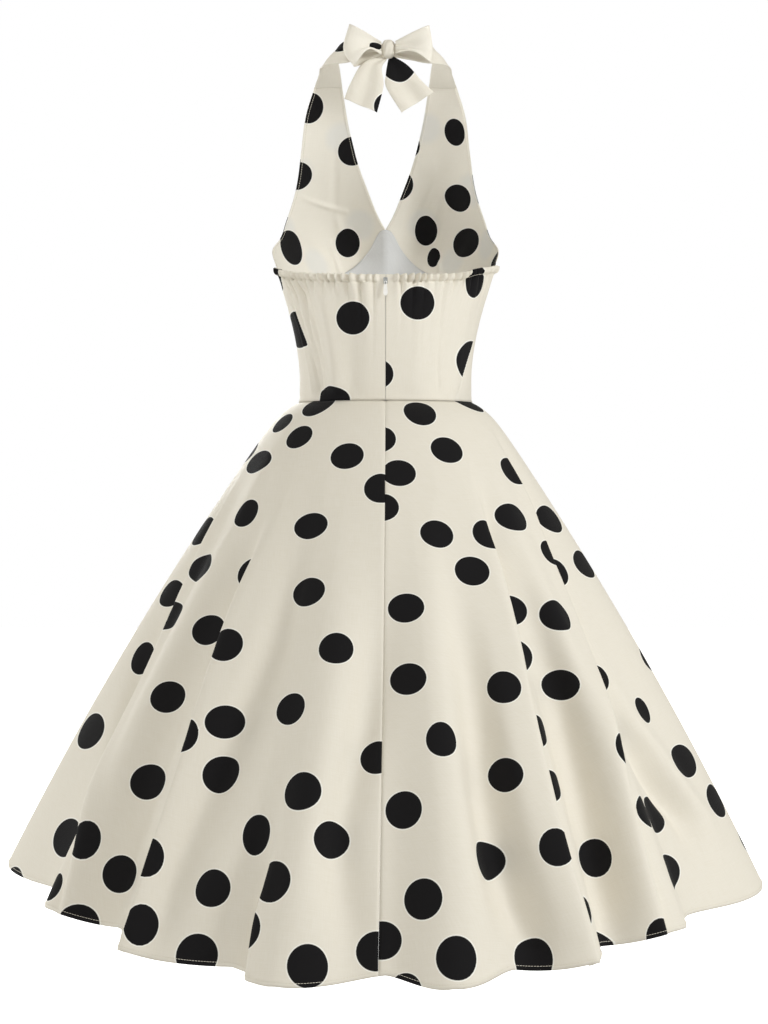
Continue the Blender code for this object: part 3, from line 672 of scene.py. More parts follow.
def fold_sides(angle, down):
    """For each lapped fold: -1 and 1 on its two sides, GAP between, and 0 where it hasn't grown."""
    angle, down = np.broadcast_arrays(np.asarray(angle, float), down)
    sides = []
    for *_, line in LAPPED_FOLDS:
        beside = beside_line(angle, down, 1.0, line)
        grown = (down > line[0][0] + FOLD_OPENS) & (np.abs(beside) < FOLD_REACH)
        at_edge = np.abs(beside) < np.radians(FOLD_GAP)
        sides.append(np.where(at_edge, GAP, np.sign(beside)) * grown)
    return sides


def grid_steps(a, b, length, step):
    """Even values from a to b for a grid whose points stand about a step apart over a length."""
    return np.linspace(a, b, max(2, int(round(length / step)) + 1))


for name, (start, end, step) in SKIRT_PANELS.items():
    angles = grid_steps(start, end, math.radians(end - start) * SKIRT_RADIUS, step)
    downs = grid_steps(0, 1, SKIRT_LENGTH, step)
    points = skirt_creased(angles[:, None], downs[None, :])
    sew_piece(name, points, SKIRT_WALL, face_cloth, reverse_cloth)
    printed[f"{name}_cloth"]["sides"] = fold_sides(angles[:, None], downs[None, :])


# ---------------------------------------------------------------------------------------------
# Back bodice: two pieces of the dotted cloth, one each side of the zip. A narrow elastic in a
# casing along the open top edge draws them up into forty-six small gathers.
# ---------------------------------------------------------------------------------------------
BODICE_WALL = 0.0009
CASING_TOP_SIDE = -0.2505
CASING_TOP_CENTRE = -0.2690
CASING_TOP_LIFT = 0.0045
LIFT_FROM, LIFT_RISE, LIFT_FALL = 0.45, 0.2, 0.15
CASING_DEPTH = 0.0088
CASING_EDGE = 0.004
CASING_PUFF = 0.0012
PUFF_ON_GATHERS = 0.3
STITCH_SINK = 0.0009
STITCH_SINK_WIDTH = 0.0011
ZIP_FLAT = 0.03
SEAM_FLAT = 0.05
GATHERS = 23
GATHER_HEIGHT = 0.0037
GATHER_SHARPNESS = 0.8
GATHER_SIZE = 0.9
GATHER_RUN_DOWN = 0.5
GATHER_RUN_LENGTH = 0.009
GATHER_SCALLOP = 0.0008
SCALLOP_DEPTH = 0.003
FANS = 13
FAN_HEIGHT = {1: 0.0048, -1: 0.0032}
FAN_LENGTH = 0.017
FAN_SIZE = 0.75
FAN_SPREAD = 40
GATHER_DRIFT = ((1.5, 9, 0, 1), (1.0, 23, 0, -1))  # swings: size, quickness, start, turn by side
GATHER_SWINGS = ((0.35, 17, 1, 2), (0.25, 41, 0, 0))
FAN_DRIFT = ((1.3, 7, 0, 2),)
FAN_SWINGS = ((0.35, 13, 0, -1),)
FAN_LENGTH_SWINGS = ((0.55, 11, 0, 1),)
WAIST_FLARE = 0.0013
WAIST_FLARE_LENGTH = 0.0022
CREASE_RADIUS = 0.12
BODICE_CREASE_START = 0.02
BODICE_CREASE_END = 0.12
BODICE_CREASES = (  # height, below 0 for a trough; width; angle at the top and at the waist
    (0.0052, 0.0130, 39, 32), (-0.0062, 0.0120, 55, 47), (0.0013, 0.0035, 60, 44),
    (-0.0012, 0.0030, 68, 50), (0.0012, 0.0040, 75, 56), (-0.0014, 0.0120, 20, 22),
    (0.0014, 0.0140, -24, -18), (-0.0012, 0.0100, -44, -36), (-0.0010, 0.0030, -33, -38),
    (0.0014, 0.0120, -62, -50),
)
SIDE_PANEL_SEAM = {1: (76, 48), -1: (108, 52)}  # its angle at the top and at the waist, by side
SIDE_PANEL_SINK = 0.0007
SIDE_PANEL_WIDTH = 0.0016
RIB_RADIUS = 0.13
BODICE_ZIP_TURN = 0.11
BODICE_ROUND = 0.19
BODICE_STEP = 0.0009
BODICE_ROWS = ((0, 0.09, 17), (0.09, 0.35, 22), (0.35, 1, 32))  # the grid, finest at the casing


def past_side_panel(angle, down):
    """Angle from the side panel's seam, which leans back as it goes down to the waist."""
    left, right = SIDE_PANEL_SEAM[1], SIDE_PANEL_SEAM[-1]
    at = np.where(angle > 0, mix(*left, down), mix(*right, down))
    return np.abs(angle) - at


def swing(swings, share, side):
    """A sum of slow swings along one side, so that no two gathers are alike."""
    return sum(size * np.sin(quick * share + start + turn * side) for size, quick, start, turn in swings)


def ridges(phase):
    """Rows of rounded ridges with sharp valleys between, from -1 to 1."""
    return 2 * np.abs(np.sin(phase / 2)) ** GATHER_SHARPNESS - 1


def back_bodice_form(angle, down):
    """Angle from centre back, either side; down is 0 at the gathered edge and 1 at the waist."""
    share = np.abs(angle) / 90
    side = np.sign(angle)
    top = mix(CASING_TOP_CENTRE, CASING_TOP_SIDE, share**2)
    lift = ease((share - LIFT_FROM) / LIFT_RISE) * ease((1 - share) / LIFT_FALL)
    top = top + CASING_TOP_LIFT * (side < 0) * lift
    below = (top - WAIST_HEIGHT) * down
    point = figure(angle, top - below)
    near_seams = np.clip((share - ZIP_FLAT) / SEAM_FLAT, 0, 1) * np.clip((1 - share) / SEAM_FLAT, 0, 1)
    pucker = ridges(2 * np.pi * GATHERS * share + swing(GATHER_DRIFT, share, side))
    gather = pucker * (GATHER_SIZE + swing(GATHER_SWINGS, share, side))
    casing = ease((CASING_DEPTH + CASING_EDGE / 2 - below) / CASING_EDGE)
    raised = GATHER_HEIGHT * gather * (casing + GATHER_RUN_DOWN * np.exp(-below / GATHER_RUN_LENGTH))
    puff = np.sin(np.pi * np.clip(below / CASING_DEPTH, 0, 1))
    puff = CASING_PUFF * puff * (1 + PUFF_ON_GATHERS * pucker)
    stitched = np.exp(-(((below - CASING_DEPTH) / STITCH_SINK_WIDTH) ** 2))
    leaning = FAN_SPREAD * below * (share - 0.5)
    fan = ridges(2 * np.pi * FANS * share + swing(FAN_DRIFT, share, side) + leaning)
    fan = fan * np.where(side > 0, FAN_HEIGHT[1], FAN_HEIGHT[-1])
    fan_length = FAN_LENGTH * (1 + swing(FAN_LENGTH_SWINGS, share, side))
    fading = np.exp(-np.maximum(0, below - CASING_DEPTH) / fan_length)
    fan = fan * (FAN_SIZE + swing(FAN_SWINGS, share, side)) * (1 - casing) * fading
    crease = 0 * share
    for height, width, top_angle, waist_angle in BODICE_CREASES:
        beside = np.radians(angle - mix(top_angle, waist_angle, down)) * CREASE_RADIUS / width
        crease = crease + height * np.exp(-(beside**2))
    crease = crease * ease((below - CASING_DEPTH) / BODICE_CREASE_START)
    crease = crease * ease((1 - down) / BODICE_CREASE_END)
    seam = np.radians(past_side_panel(angle, down)) * RIB_RADIUS / SIDE_PANEL_WIDTH
    out = near_seams * (raised + puff + fan - STITCH_SINK * stitched) + crease
    out = out - SIDE_PANEL_SINK * np.exp(-seam**2)
    out = out + WAIST_FLARE * np.exp((down - 1) * (top - WAIST_HEIGHT) / WAIST_FLARE_LENGTH)
    outward = stack(point[..., 0], point[..., 1] - BODY_AXIS_Y, 0 * share)
    outward = outward / np.linalg.norm(outward, axis=-1, keepdims=True)
    scallop = GATHER_SCALLOP * gather * near_seams * np.exp(-below / SCALLOP_DEPTH)
    return point + outward * out[..., None] + stack(0 * share, 0 * share, scallop)


for side, (start, end) in {"left": (BODICE_ZIP_TURN, 90), "right": (-90, -BODICE_ZIP_TURN)}.items():
    angles = grid_steps(start, end, BODICE_ROUND, BODICE_STEP)
    downs = np.concatenate([[0]] + [np.linspace(*rows)[1:] for rows in BODICE_ROWS])
    points = back_bodice_form(angles[:, None], downs[None, :])
    name = f"back_bodice_{side}"
    sew_piece(name, points, BODICE_WALL, face_cloth, reverse_cloth)
    past_seam = np.radians(past_side_panel(angles[:, None], downs[None, :])) * RIB_RADIUS
    printed[f"{name}_cloth"]["past_seam"] = past_seam


# ---------------------------------------------------------------------------------------------
# Front midriff: one shaped piece from the waist up to a point between the cups, backed with
# plain white lining that shows inside the open back.
# ---------------------------------------------------------------------------------------------
ACROSS, UP = range(2)
MIDRIFF_SEAM = (  # distance from centre front, height
    (0.0000, -0.1875),
    (0.0060, -0.1895),
    (0.0182, -0.2112),
    (0.0347, -0.2308),
    (0.0520, -0.2430),
    (0.0850, -0.2560),
    (0.1150, -0.2620),
    (0.1390, -0.2640),
)
LINING_WHITE = (0.74, 0.745, 0.75, 1)
LINING_GREY = (0.68, 0.685, 0.69, 1)
LINING_INSET = 0.0018
LINING_WALL = 0.0006
MIDRIFF_GRID = (141, 61)
MIDRIFF_RADIUS = 0.11
MIDRIFF_CREASES = (  # depth, width, angle at the top and at the waist
    (0.0010, 0.0080, 112, 118), (-0.0009, 0.0090, 131, 124), (0.0008, 0.0070, 158, 163),
    (-0.0007, 0.0080, 172, 168), (0.0009, 0.0080, 196, 190), (-0.0009, 0.0070, 214, 221),
    (0.0010, 0.0090, 241, 236), (0.0008, 0.0080, 257, 261),
)


def seam_height(angle):
    """Height of the seam between the midriff and the cups."""
    across = np.abs(np.sin(np.radians(angle))) * MIDRIFF_SEAM[-1][ACROSS]
    return flow(column(MIDRIFF_SEAM, ACROSS), column(MIDRIFF_SEAM, UP), across)


def pushed_in(points, depth):
    """The same grid moved inwards along its own normals."""
    return points - outward_of(points) * (depth if np.ndim(depth) == 0 else depth[..., None])


n_angles, n_downs = MIDRIFF_GRID
angles = np.linspace(90, 270, n_angles)[:, None]
downs = np.linspace(0, 1, n_downs)[None, :]
points = figure(angles, mix(seam_height(angles) - SEAM_GAP, WAIST_HEIGHT, downs))
depth = 0 * points[..., 0]
for height, width, top_angle, waist_angle in MIDRIFF_CREASES:
    beside = np.radians(angles - mix(top_angle, waist_angle, downs)) * MIDRIFF_RADIUS
    depth = depth + height * np.exp(-((beside / width) ** 2)) * np.sin(np.pi * downs)
points = pushed_in(points, depth)
sew_piece("front_midriff", points, BODICE_WALL, face_cloth, reverse_cloth)
white_cloth = cloth_material("white_lining", LINING_WHITE, LINING_GREY, roughness=0.6, sheen=0.1)
lining_points = pushed_in(points, LINING_INSET)
sew_piece("midriff_lining", lining_points, LINING_WALL, white_cloth, white_cloth)
del printed["midriff_lining_cloth"]  # plain, so no dot goes on it


# ---------------------------------------------------------------------------------------------
# Halter: two cups of the dotted cloth, lined with the same cloth, that rise from the midriff
# and narrow into the neck ties. A dart under each bust shapes them.
# ---------------------------------------------------------------------------------------------
NECK_EDGE = (  # distance from centre front, height
    (0.0000, -0.1870),
    (0.0072, -0.1745),
    (0.0228, -0.1385),
    (0.0368, -0.1023),
    (0.0435, -0.0774),
    (0.0520, -0.0353),
    (0.0545, -0.0200),
)
ARM_EDGE = (
    (0.1390, -0.2640),
    (0.1402, -0.2377),
    (0.1340, -0.2080),
    (0.1275, -0.1853),
    (0.1185, -0.1560),
    (0.1125, -0.1300),
    (0.1080, -0.1000),
    (0.0985, -0.0456),
    (0.0895, -0.0215),
)


def edge_point(edge, up):
    """Angle and height on an edge of the halter, up from 0 at the seam to 1 at the neck."""
    edge = np.array(edge)
    half_width = flow(column(FIGURE, HEIGHT), column(FIGURE, HALF_WIDTH), edge[:, UP])
    angles = 180 - np.degrees(np.arcsin(np.minimum(1, edge[:, ACROSS] / half_width)))
    steps = np.hypot(*np.diff(edge, axis=0).T)
    lengths = np.concatenate([[0], np.cumsum(steps)])
    return flow(lengths, np.stack([angles, edge[:, UP]], axis=1), np.asarray(up) * lengths[-1])


def halter_form(inward, down):
    """The left half of the halter: inward from the armhole edge, down from the neck."""
    inward, down = np.broadcast_arrays(np.asarray(inward, float), down)
    up = 1 - down
    seam_angle = mix(90, 180, inward)
    seam = np.stack([seam_angle, seam_height(seam_angle) + SEAM_GAP], axis=-1)
    top = mix(edge_point(ARM_EDGE, 1), edge_point(NECK_EDGE, 1), inward[..., None])
    bottom = mix(edge_point(ARM_EDGE, 0), edge_point(NECK_EDGE, 0), inward[..., None])
    sides = mix(edge_point(ARM_EDGE, up), edge_point(NECK_EDGE, up), inward[..., None])
    place = sides + mix(seam, top, up[..., None]) - mix(bottom, top, up[..., None])
    return figure(np.clip(place[..., 0], 90, 180), place[..., 1])


DARTS = {  # foot and tip of each dart: distance from centre front, height
    "left": ((0.0575, -0.2520), (0.0740, -0.2020)),
    "right": ((0.0720, -0.2560), (0.0705, -0.2150)),
}
DART_HEIGHT = 0.0030
DART_WIDTH = 0.0021
DART_TAPER = 0.6
EDGE_SEAM = 0.0030
EDGE_SINK = 0.0004
EDGE_SINK_WIDTH = 0.0009
HALTER_GRID = (141, 161)
CUP_CREASE_RUN = (0.15, 0.85)  # the part of a half wave that a crease's depth follows along it
CUP_CREASES = {  # depth; width; from and to: distance from centre front, height
    "left": (
        (0.0016, 0.003, (0.052, -0.162), (0.105, -0.152)),
        (-0.0016, 0.006, (0.064, -0.080), (0.068, -0.165)),
        (0.0018, 0.005, (0.066, -0.165), (0.058, -0.195)),
        (-0.0014, 0.006, (0.108, -0.205), (0.085, -0.235)),
    ),
    "right": (
        (-0.0016, 0.004, (0.062, -0.130), (0.040, -0.175)),
        (0.0016, 0.006, (0.076, -0.135), (0.058, -0.190)),
        (-0.0014, 0.004, (0.082, -0.160), (0.068, -0.215)),
        (0.0014, 0.006, (0.112, -0.205), (0.090, -0.245)),
    ),
}


def beside_segment(points, foot, tip):
    """Distance of each point from a line between two places, as across and height."""
    foot, tip = np.array(foot), np.array(tip)
    place = np.stack([np.abs(points[..., 0]), points[..., 2]], axis=-1) - foot
    share = np.clip(place @ (tip - foot) / ((tip - foot) @ (tip - foot)), 0, 1)
    return np.linalg.norm(place - share[..., None] * (tip - foot), axis=-1), share


def halter_creased(points, side):
    """The half with its dart, the seam round its edges and a few soft creases."""
    beside, share = beside_segment(points, *DARTS[side])
    depth = DART_HEIGHT * np.exp(-((beside / DART_WIDTH) ** 2)) * (1 - DART_TAPER * share)
    for height, width, foot, tip in CUP_CREASES[side]:
        beside, share = beside_segment(points, foot, tip)
        run = np.sin(np.pi * mix(*CUP_CREASE_RUN, share))
        depth = depth + height * np.exp(-((beside / width) ** 2)) * run
    from_arm = np.cumsum(np.linalg.norm(np.diff(points, axis=0, prepend=points[:1]), axis=2), axis=0)
    from_neck = from_arm[-1:] - from_arm
    for inset in (from_arm, from_neck):
        depth = depth + EDGE_SINK * np.exp(-(((inset - EDGE_SEAM) / EDGE_SINK_WIDTH) ** 2))
    return pushed_in(points, depth)


def unit_grid(n_across, n_down):
    """How far across and down each point of a grid is, from 0 to 1."""
    return np.broadcast_arrays(np.linspace(0, 1, n_across)[:, None], np.linspace(0, 1, n_down)[None, :])


halter_left = halter_form(*unit_grid(*HALTER_GRID))
halter_right = halter_left[::-1] * (-1, 1, 1)
for side, points in (("left", halter_left), ("right", halter_right)):
    points = halter_creased(points, side)
    sew_piece(f"halter_{side}", points, BODICE_WALL, face_cloth, facing_cloth_painted_light, facing_dots=True)


# ---------------------------------------------------------------------------------------------
# Neck ties: each cup runs on into a soft double band, about 30 mm wide, that goes over the
# collarbone and round the neck to the bow.
# ---------------------------------------------------------------------------------------------
TIE_WALL = 0.0011
TIE = (  # neck side edge x, y, z; arm side edge x, y, z
    (0.0570, -0.0730, -0.0020, 0.0830, -0.0690, -0.0125),
    (0.0595, -0.0450, 0.0085, 0.0795, -0.0420, -0.0095),
    (0.0560, -0.0220, 0.0130, 0.0685, -0.0190, -0.0110),
    (0.0440, -0.0040, 0.0155, 0.0480, -0.0020, -0.0130),
    (0.0250, 0.0030, 0.0130, 0.0265, 0.0040, -0.0105),
)
TIE_END = (0.0055, 0.0085, 0.0060, -0.0075)
TIE_CROWN = 0.08
TIE_CROWN_RISE = 0.02
TIE_JOIN = 0.25
TIE_PLEATS = 1.8
TIE_PLEAT_DEPTH = 0.0011
TIE_PLEAT_SLANT = 5
TIE_PLEAT_AT_CUP = 0.35
TIE_PLEAT_DEEPENS = 0.55
TIE_ENTRY = 0.7  # how far from the knot's middle the tie ends, in the knot's half width
TIE_GRID = (21, 91)
KNOT_CENTRE = (-0.0034, 0.0110, 0.0005)
KNOT_RADII = (0.0084, 0.0090, 0.0112)


def tie_form(across, along, towards):
    """The tie on the wearer's left, or its twin; towards is 1 for left and -1 for right."""
    start = np.concatenate([figure(*edge_point(NECK_EDGE, 1)), figure(*edge_point(ARM_EDGE, 1))])
    neck_y, neck_z, arm_y, arm_z = TIE_END
    end = towards * KNOT_CENTRE[0] + KNOT_RADII[0] * TIE_ENTRY
    sections = np.array((start, *TIE, (end, neck_y, neck_z, end, arm_y, arm_z)))
    edges = flow(np.arange(len(sections)), sections, along * (len(sections) - 1))
    neck_edge, arm_edge = edges[..., :3], edges[..., 3:]
    width = arm_edge - neck_edge
    joining = ease(along / TIE_JOIN)[..., None]
    crown = TIE_CROWN * np.sin(np.pi * across)[..., None] * np.linalg.norm(width, axis=-1, keepdims=True)
    outward = stack(neck_edge[..., 0], neck_edge[..., 1] - BODY_AXIS_Y, TIE_CROWN_RISE + 0 * along)
    outward = outward / np.linalg.norm(outward, axis=-1, keepdims=True)
    seam = mix(start[:3], start[3:], across[..., None])
    joined = (halter_form(1 - across, 0 * across) - seam) * (1 - joining)
    near_knot = ease((along - TIE_PLEAT_DEEPENS) / (1 - TIE_PLEAT_DEEPENS))
    pleats = np.sin(2 * np.pi * TIE_PLEATS * across + TIE_PLEAT_SLANT * along)
    pleats = (TIE_PLEAT_DEPTH * pleats * mix(TIE_PLEAT_AT_CUP, 1, near_knot))[..., None]
    return neck_edge + width * across[..., None] + outward * (crown + pleats) * joining + joined


for side, towards in (("left", 1), ("right", -1)):
    points = tie_form(*unit_grid(*TIE_GRID), towards)
    if towards < 0:
        points = points[::-1] * (-1, 1, 1)
    sew_piece(f"neck_tie_{side}", points, TIE_WALL, face_cloth, band_facing)


# ---------------------------------------------------------------------------------------------
# Bow: the tie ends tied in a small bow at the nape, two loops, a creased knot and two tails cut
# on the slant.
# ---------------------------------------------------------------------------------------------
LOOPS = {  # knot end: x, y, half height; outer end: x, z at its lower corner, middle, upper corner
    "bow_loop_left": (0.0044, 0.0150, 0.0070, (0.0368, -0.0221), (0.0490, -0.0020), (0.0421, 0.0271)),
    "bow_loop_right": (-0.0112, 0.0150, 0.0070, (-0.0530, -0.0185), (-0.0548, 0.0010), (-0.0512, 0.0256)),
}
BOW_GRID = (31, 81)
LOOP_PUFF = 0.0085
LOOP_PUFF_LOW = 0.25
LOOP_LIFT = 0.0075
LOOP_END_ANGLE = 0.30
LOOP_MOUTH = 0.0014
LOOP_PLEATS = 1.1
LOOP_PLEAT_DEPTH = 0.0018
LOOP_PLEAT_START = {"bow_loop_left": 0.4, "bow_loop_right": 2.4}
LOOP_PLEAT_LENGTH = 0.5
LOOP_DENT = 0.0022
DENT_UP, DENT_UP_WIDTH = 0.15, 0.35
DENT_OUT, DENT_OUT_WIDTH = 0.42, 0.22
LOOP_GAPE = {"bow_loop_left": 0.0105, "bow_loop_right": 0.0060}
TAILS = {  # down the tail: left edge x, z and right edge x, z, seen from the back
    "bow_tail_left": (
        (0.0026, -0.0082, -0.0018, -0.0112),
        (0.0262, -0.0160, 0.0042, -0.0230),
        (0.0415, -0.0410, 0.0024, -0.0450),
        (0.0492, -0.0595, 0.0100, -0.0757),
    ),
    "bow_tail_right": (
        (-0.0032, -0.0115, -0.0100, -0.0079),
        (-0.0004, -0.0300, -0.0268, -0.0200),
        (-0.0010, -0.0470, -0.0425, -0.0380),
        (-0.0191, -0.0760, -0.0575, -0.0518),
    ),
}
TAIL_TOP_Y = 0.0095
TAIL_BOTTOM_Y = 0.0150
TAIL_BOW_OUT = 0.0050
TAIL_PLEATS = 1.5
TAIL_PLEAT_DEPTH = 0.0016
TAIL_PLEAT_AT_KNOT = 0.35
KNOT_CREASES = 5.5
KNOT_CREASE_START = 0.6
KNOT_CREASE = 0.13
KNOT_CREASE_SHARPNESS = 0.7
KNOT_CREASE_SLANT = (0.9, 0.45)  # how the creases run: with x, and with z, which turns over behind
KNOT_SQUARE = (0.72, 1.0, 0.80)


def loop_form(name, across, round_loop):
    """A bow loop: a strip that leaves the knot, turns back at its outer end and returns."""
    knot_x, knot_y, half_height, *outer = LOOPS[name]
    up = np.where(knot_x > 0, 1 - 2 * across, 2 * across - 1)
    far = flow((-1, 0, 1), outer, up)
    turn = mix(LOOP_END_ANGLE, 2 * np.pi - LOOP_END_ANGLE, round_loop)
    out = (1 - np.cos(turn)) / 2
    puff = LOOP_PUFF * (1 - LOOP_PUFF_LOW * up) * np.sin(turn) * np.sin(turn / 2)
    pleats = np.sin(2 * np.pi * LOOP_PLEATS * up + LOOP_PLEAT_START[name])
    pleats = LOOP_PLEAT_DEPTH * pleats * np.exp(-out / LOOP_PLEAT_LENGTH)
    dent = ((up - DENT_UP) / DENT_UP_WIDTH) ** 2 + ((out - DENT_OUT) / DENT_OUT_WIDTH) ** 2
    dent = LOOP_DENT * np.exp(-dent) * (np.sin(turn) > 0)
    gape = LOOP_GAPE[name] * np.maximum(0, np.sin(turn)) * ease(-up) * np.sin(np.pi * out)
    return stack(
        mix(knot_x, far[..., 0], out),
        knot_y + LOOP_LIFT * out + puff + LOOP_MOUTH * np.cos(turn / 2) + pleats - dent,
        mix(KNOT_CENTRE[2] + up * half_height, far[..., 1], out) + gape,
    )


def tail_form(name, across, down):
    """A bow tail: gathered under the knot and spread towards its slanted end."""
    stations = TAILS[name]
    edges = flow(np.arange(len(stations)), stations, down * (len(stations) - 1))
    pleat = TAIL_PLEAT_DEPTH * np.sin(2 * np.pi * TAIL_PLEATS * across) * mix(TAIL_PLEAT_AT_KNOT, 1, down)
    return stack(
        mix(edges[..., 2], edges[..., 0], across),
        mix(TAIL_TOP_Y, TAIL_BOTTOM_Y, down) + pleat + TAIL_BOW_OUT * np.sin(np.pi * down),
        mix(edges[..., 3], edges[..., 1], across),
    )


for shapes, form in ((LOOPS, loop_form), (TAILS, tail_form)):
    for name in shapes:
        sew_piece(name, form(name, *unit_grid(*BOW_GRID)), TIE_WALL, face_cloth, band_facing)

bm = bmesh.new()
bmesh.ops.create_uvsphere(bm, u_segments=64, v_segments=32, radius=1.0)
for v in bm.verts:
    x, y, z = v.co
    slant = KNOT_CREASE_SLANT[0] * x + KNOT_CREASE_SLANT[1] * z * (1 if y > 0 else -1)
    crease = 1 - abs(math.sin(KNOT_CREASES * slant + KNOT_CREASE_START)) ** KNOT_CREASE_SHARPNESS
    pleat = 1 - KNOT_CREASE * crease * (1 - z * z)
    v.co = Vector(
        centre + radius * pleat * math.copysign(abs(out) ** square, out)
        for centre, radius, square, out in zip(KNOT_CENTRE, KNOT_RADII, KNOT_SQUARE, (x, y, z))
    )
mesh = mesh_of("bow_knot", bm)
mesh.shade_smooth()
mesh.uv_layers.new(name="cut")
mesh.materials.append(face_cloth)
knot = link_object("knot_wrap", mesh)
past = mesh.attributes.new("past_dot", "FLOAT", "POINT")
past.data.foreach_set("value", np.full(len(mesh.vertices), DOT_FAR))
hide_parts("bow_knot")
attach(knot, "dress")


# ---------------------------------------------------------------------------------------------
# Zip: a white woven tape behind the centre-back seam, with the two halves of a nylon coil between
# them. A small pale metal slider sits at the top of the closed zip, with a cream enamelled pull.
# ---------------------------------------------------------------------------------------------
COIL_TOP = -0.2790
COIL_FOOT = -0.5450
COIL_INSET = 0.0037
COIL_TURNS = 190
COIL_STEPS = 9
COIL_RADII = (0.0010, 0.00055)
COIL_APART = 0.0007
COIL_WIRE = 0.00024
WIRE_SIDES = 4
SEAM_SHARE = 0.3  # how far down the skirt's seam its line is read; the coil ends above that
SEAM_STEPS = 200
TRIM_CLOUD = 0.25
TRIM_FINE = 3
TRIM_DETAIL = 3.0
TRIM_BLEND = 0.4
TRIM_ROUGHNESS_DRIFT = 0.25


def add_noise(tree, scale):
    """A Noise node over the piece's own coordinates, in metres."""
    place = tree.nodes.new("ShaderNodeTexCoord")
    noise = tree.nodes.new("ShaderNodeTexNoise")
    noise.inputs["Scale"].default_value = scale
    noise.inputs["Detail"].default_value = TRIM_DETAIL
    tree.links.new(place.outputs["Object"], noise.inputs["Vector"])
    return noise.outputs["Fac"]


def trim_material(name, light, dark, roughness, metallic=0.0, coat=0.0, grain=900.0, relief=0.00002):
    """A fitting's finish: two tones that drift into each other, and a slightly uneven surface."""
    material, tree, shader = new_material(name)
    tone = step_over(tree, add_noise(tree, grain * TRIM_CLOUD), 0.5, TRIM_BLEND)
    tree.links.new(add_mix(tree, tone, dark, light), shader.inputs["Base Color"])
    fine = add_noise(tree, grain * TRIM_FINE)
    drift = roughness * TRIM_ROUGHNESS_DRIFT
    tree.links.new(add_range(tree, fine, roughness - drift, roughness + drift), shader.inputs["Roughness"])
    add_relief(tree, shader, fine, relief)
    shader.inputs["Metallic"].default_value = metallic
    shader.inputs["Coat Weight"].default_value = coat
    return material


tape_cloth = trim_material(
    "woven_tape", (0.76, 0.76, 0.75, 1), (0.70, 0.70, 0.69, 1), 0.7, grain=1600.0, relief=0.0002,
)
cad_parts["zip_tape"].material_slots[0].material = tape_cloth
bright_metal = trim_material(
    "pale_plated_metal", (0.66, 0.68, 0.70, 1), (0.36, 0.37, 0.39, 1), 0.30, metallic=0.85,
)
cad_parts["zip_slider"].material_slots[0].material = bright_metal
cream_enamel = trim_material(
    "cream_enamel", (0.95, 0.94, 0.92, 1), (0.90, 0.885, 0.85, 1), 0.34, coat=0.3,
)
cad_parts["zip_pull"].material_slots[0].material = cream_enamel

heights = np.linspace(COIL_TOP, COIL_FOOT, COIL_TURNS * COIL_STEPS + 1)
skirt_seam = skirt_form(np.zeros(SEAM_STEPS), np.linspace(0, SEAM_SHARE, SEAM_STEPS))
seam_y = np.where(
    heights > WAIST_HEIGHT,
    figure(0 * heights, heights)[:, 1],
    np.interp(-heights, -skirt_seam[:, 2], skirt_seam[:, 1]),
)
turn = 2 * np.pi * np.arange(len(heights)) / COIL_STEPS
round_wire = np.linspace(0, 2 * np.pi, WIRE_SIDES + 1)[:, None]
nylon = trim_material("nylon_coil", (0.80, 0.79, 0.76, 1), (0.74, 0.73, 0.70, 1), 0.4)
for side, towards in (("left", 1), ("right", -1)):
    wire = COIL_WIRE * np.cos(round_wire)
    coil = stack(
        towards * (COIL_APART + COIL_RADII[0] * np.cos(turn)) + wire * np.cos(turn),
        seam_y - COIL_INSET + (COIL_RADII[1] + wire) * np.sin(turn),
        heights + COIL_WIRE * np.sin(round_wire),
    )
    mesh, i, j = grid_mesh(f"zip_coil_{side}", coil if towards > 0 else coil[::-1])
    mesh.materials.append(nylon)
    piece = link_object(f"zip_coil_{side}", mesh)
    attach(piece, "dress")


# ---------------------------------------------------------------------------------------------
# Sewing: a row of ivory topstitching holds the narrow hem, one the elastic's casing, and one runs
# along each side edge of the halters and shows on both faces.
# ---------------------------------------------------------------------------------------------
STITCH_LENGTH = 0.0022
STITCH_WIDTH = 0.00040
STITCH_RISE = 0.00030
STITCH_PITCH = 0.0030
HEM_STITCHES = 0.0046
OUTSIDE, INSIDE = 1, -1
thread = trim_material("ivory_thread", (0.80, 0.76, 0.66, 1), (0.70, 0.66, 0.56, 1), 0.55, grain=3000.0)


def seam_path(name, edge, inset):
    """The points at an inset from one edge of a piece, and the outward directions there."""
    entry = printed[name]
    points, lengths = entry["points"], entry["down"]
    outward = outward_of(points)
    if edge in ("start", "end"):
        points, outward = points.transpose(1, 0, 2), outward.transpose(1, 0, 2)
        lengths = entry["across"].T
    if edge in ("end", "bottom"):
        points, outward = points[:, ::-1], outward[:, ::-1]
        lengths = (lengths[:, -1:] - lengths)[:, ::-1]
    at = np.array([np.clip(np.searchsorted(row, inset), 1, len(row) - 1) for row in lengths])
    k = np.arange(len(at))
    before = lengths[k, at - 1]
    share = (inset - before) / (lengths[k, at] - before)
    return mix(points[k, at - 1], points[k, at], share[:, None]), outward[k, at]


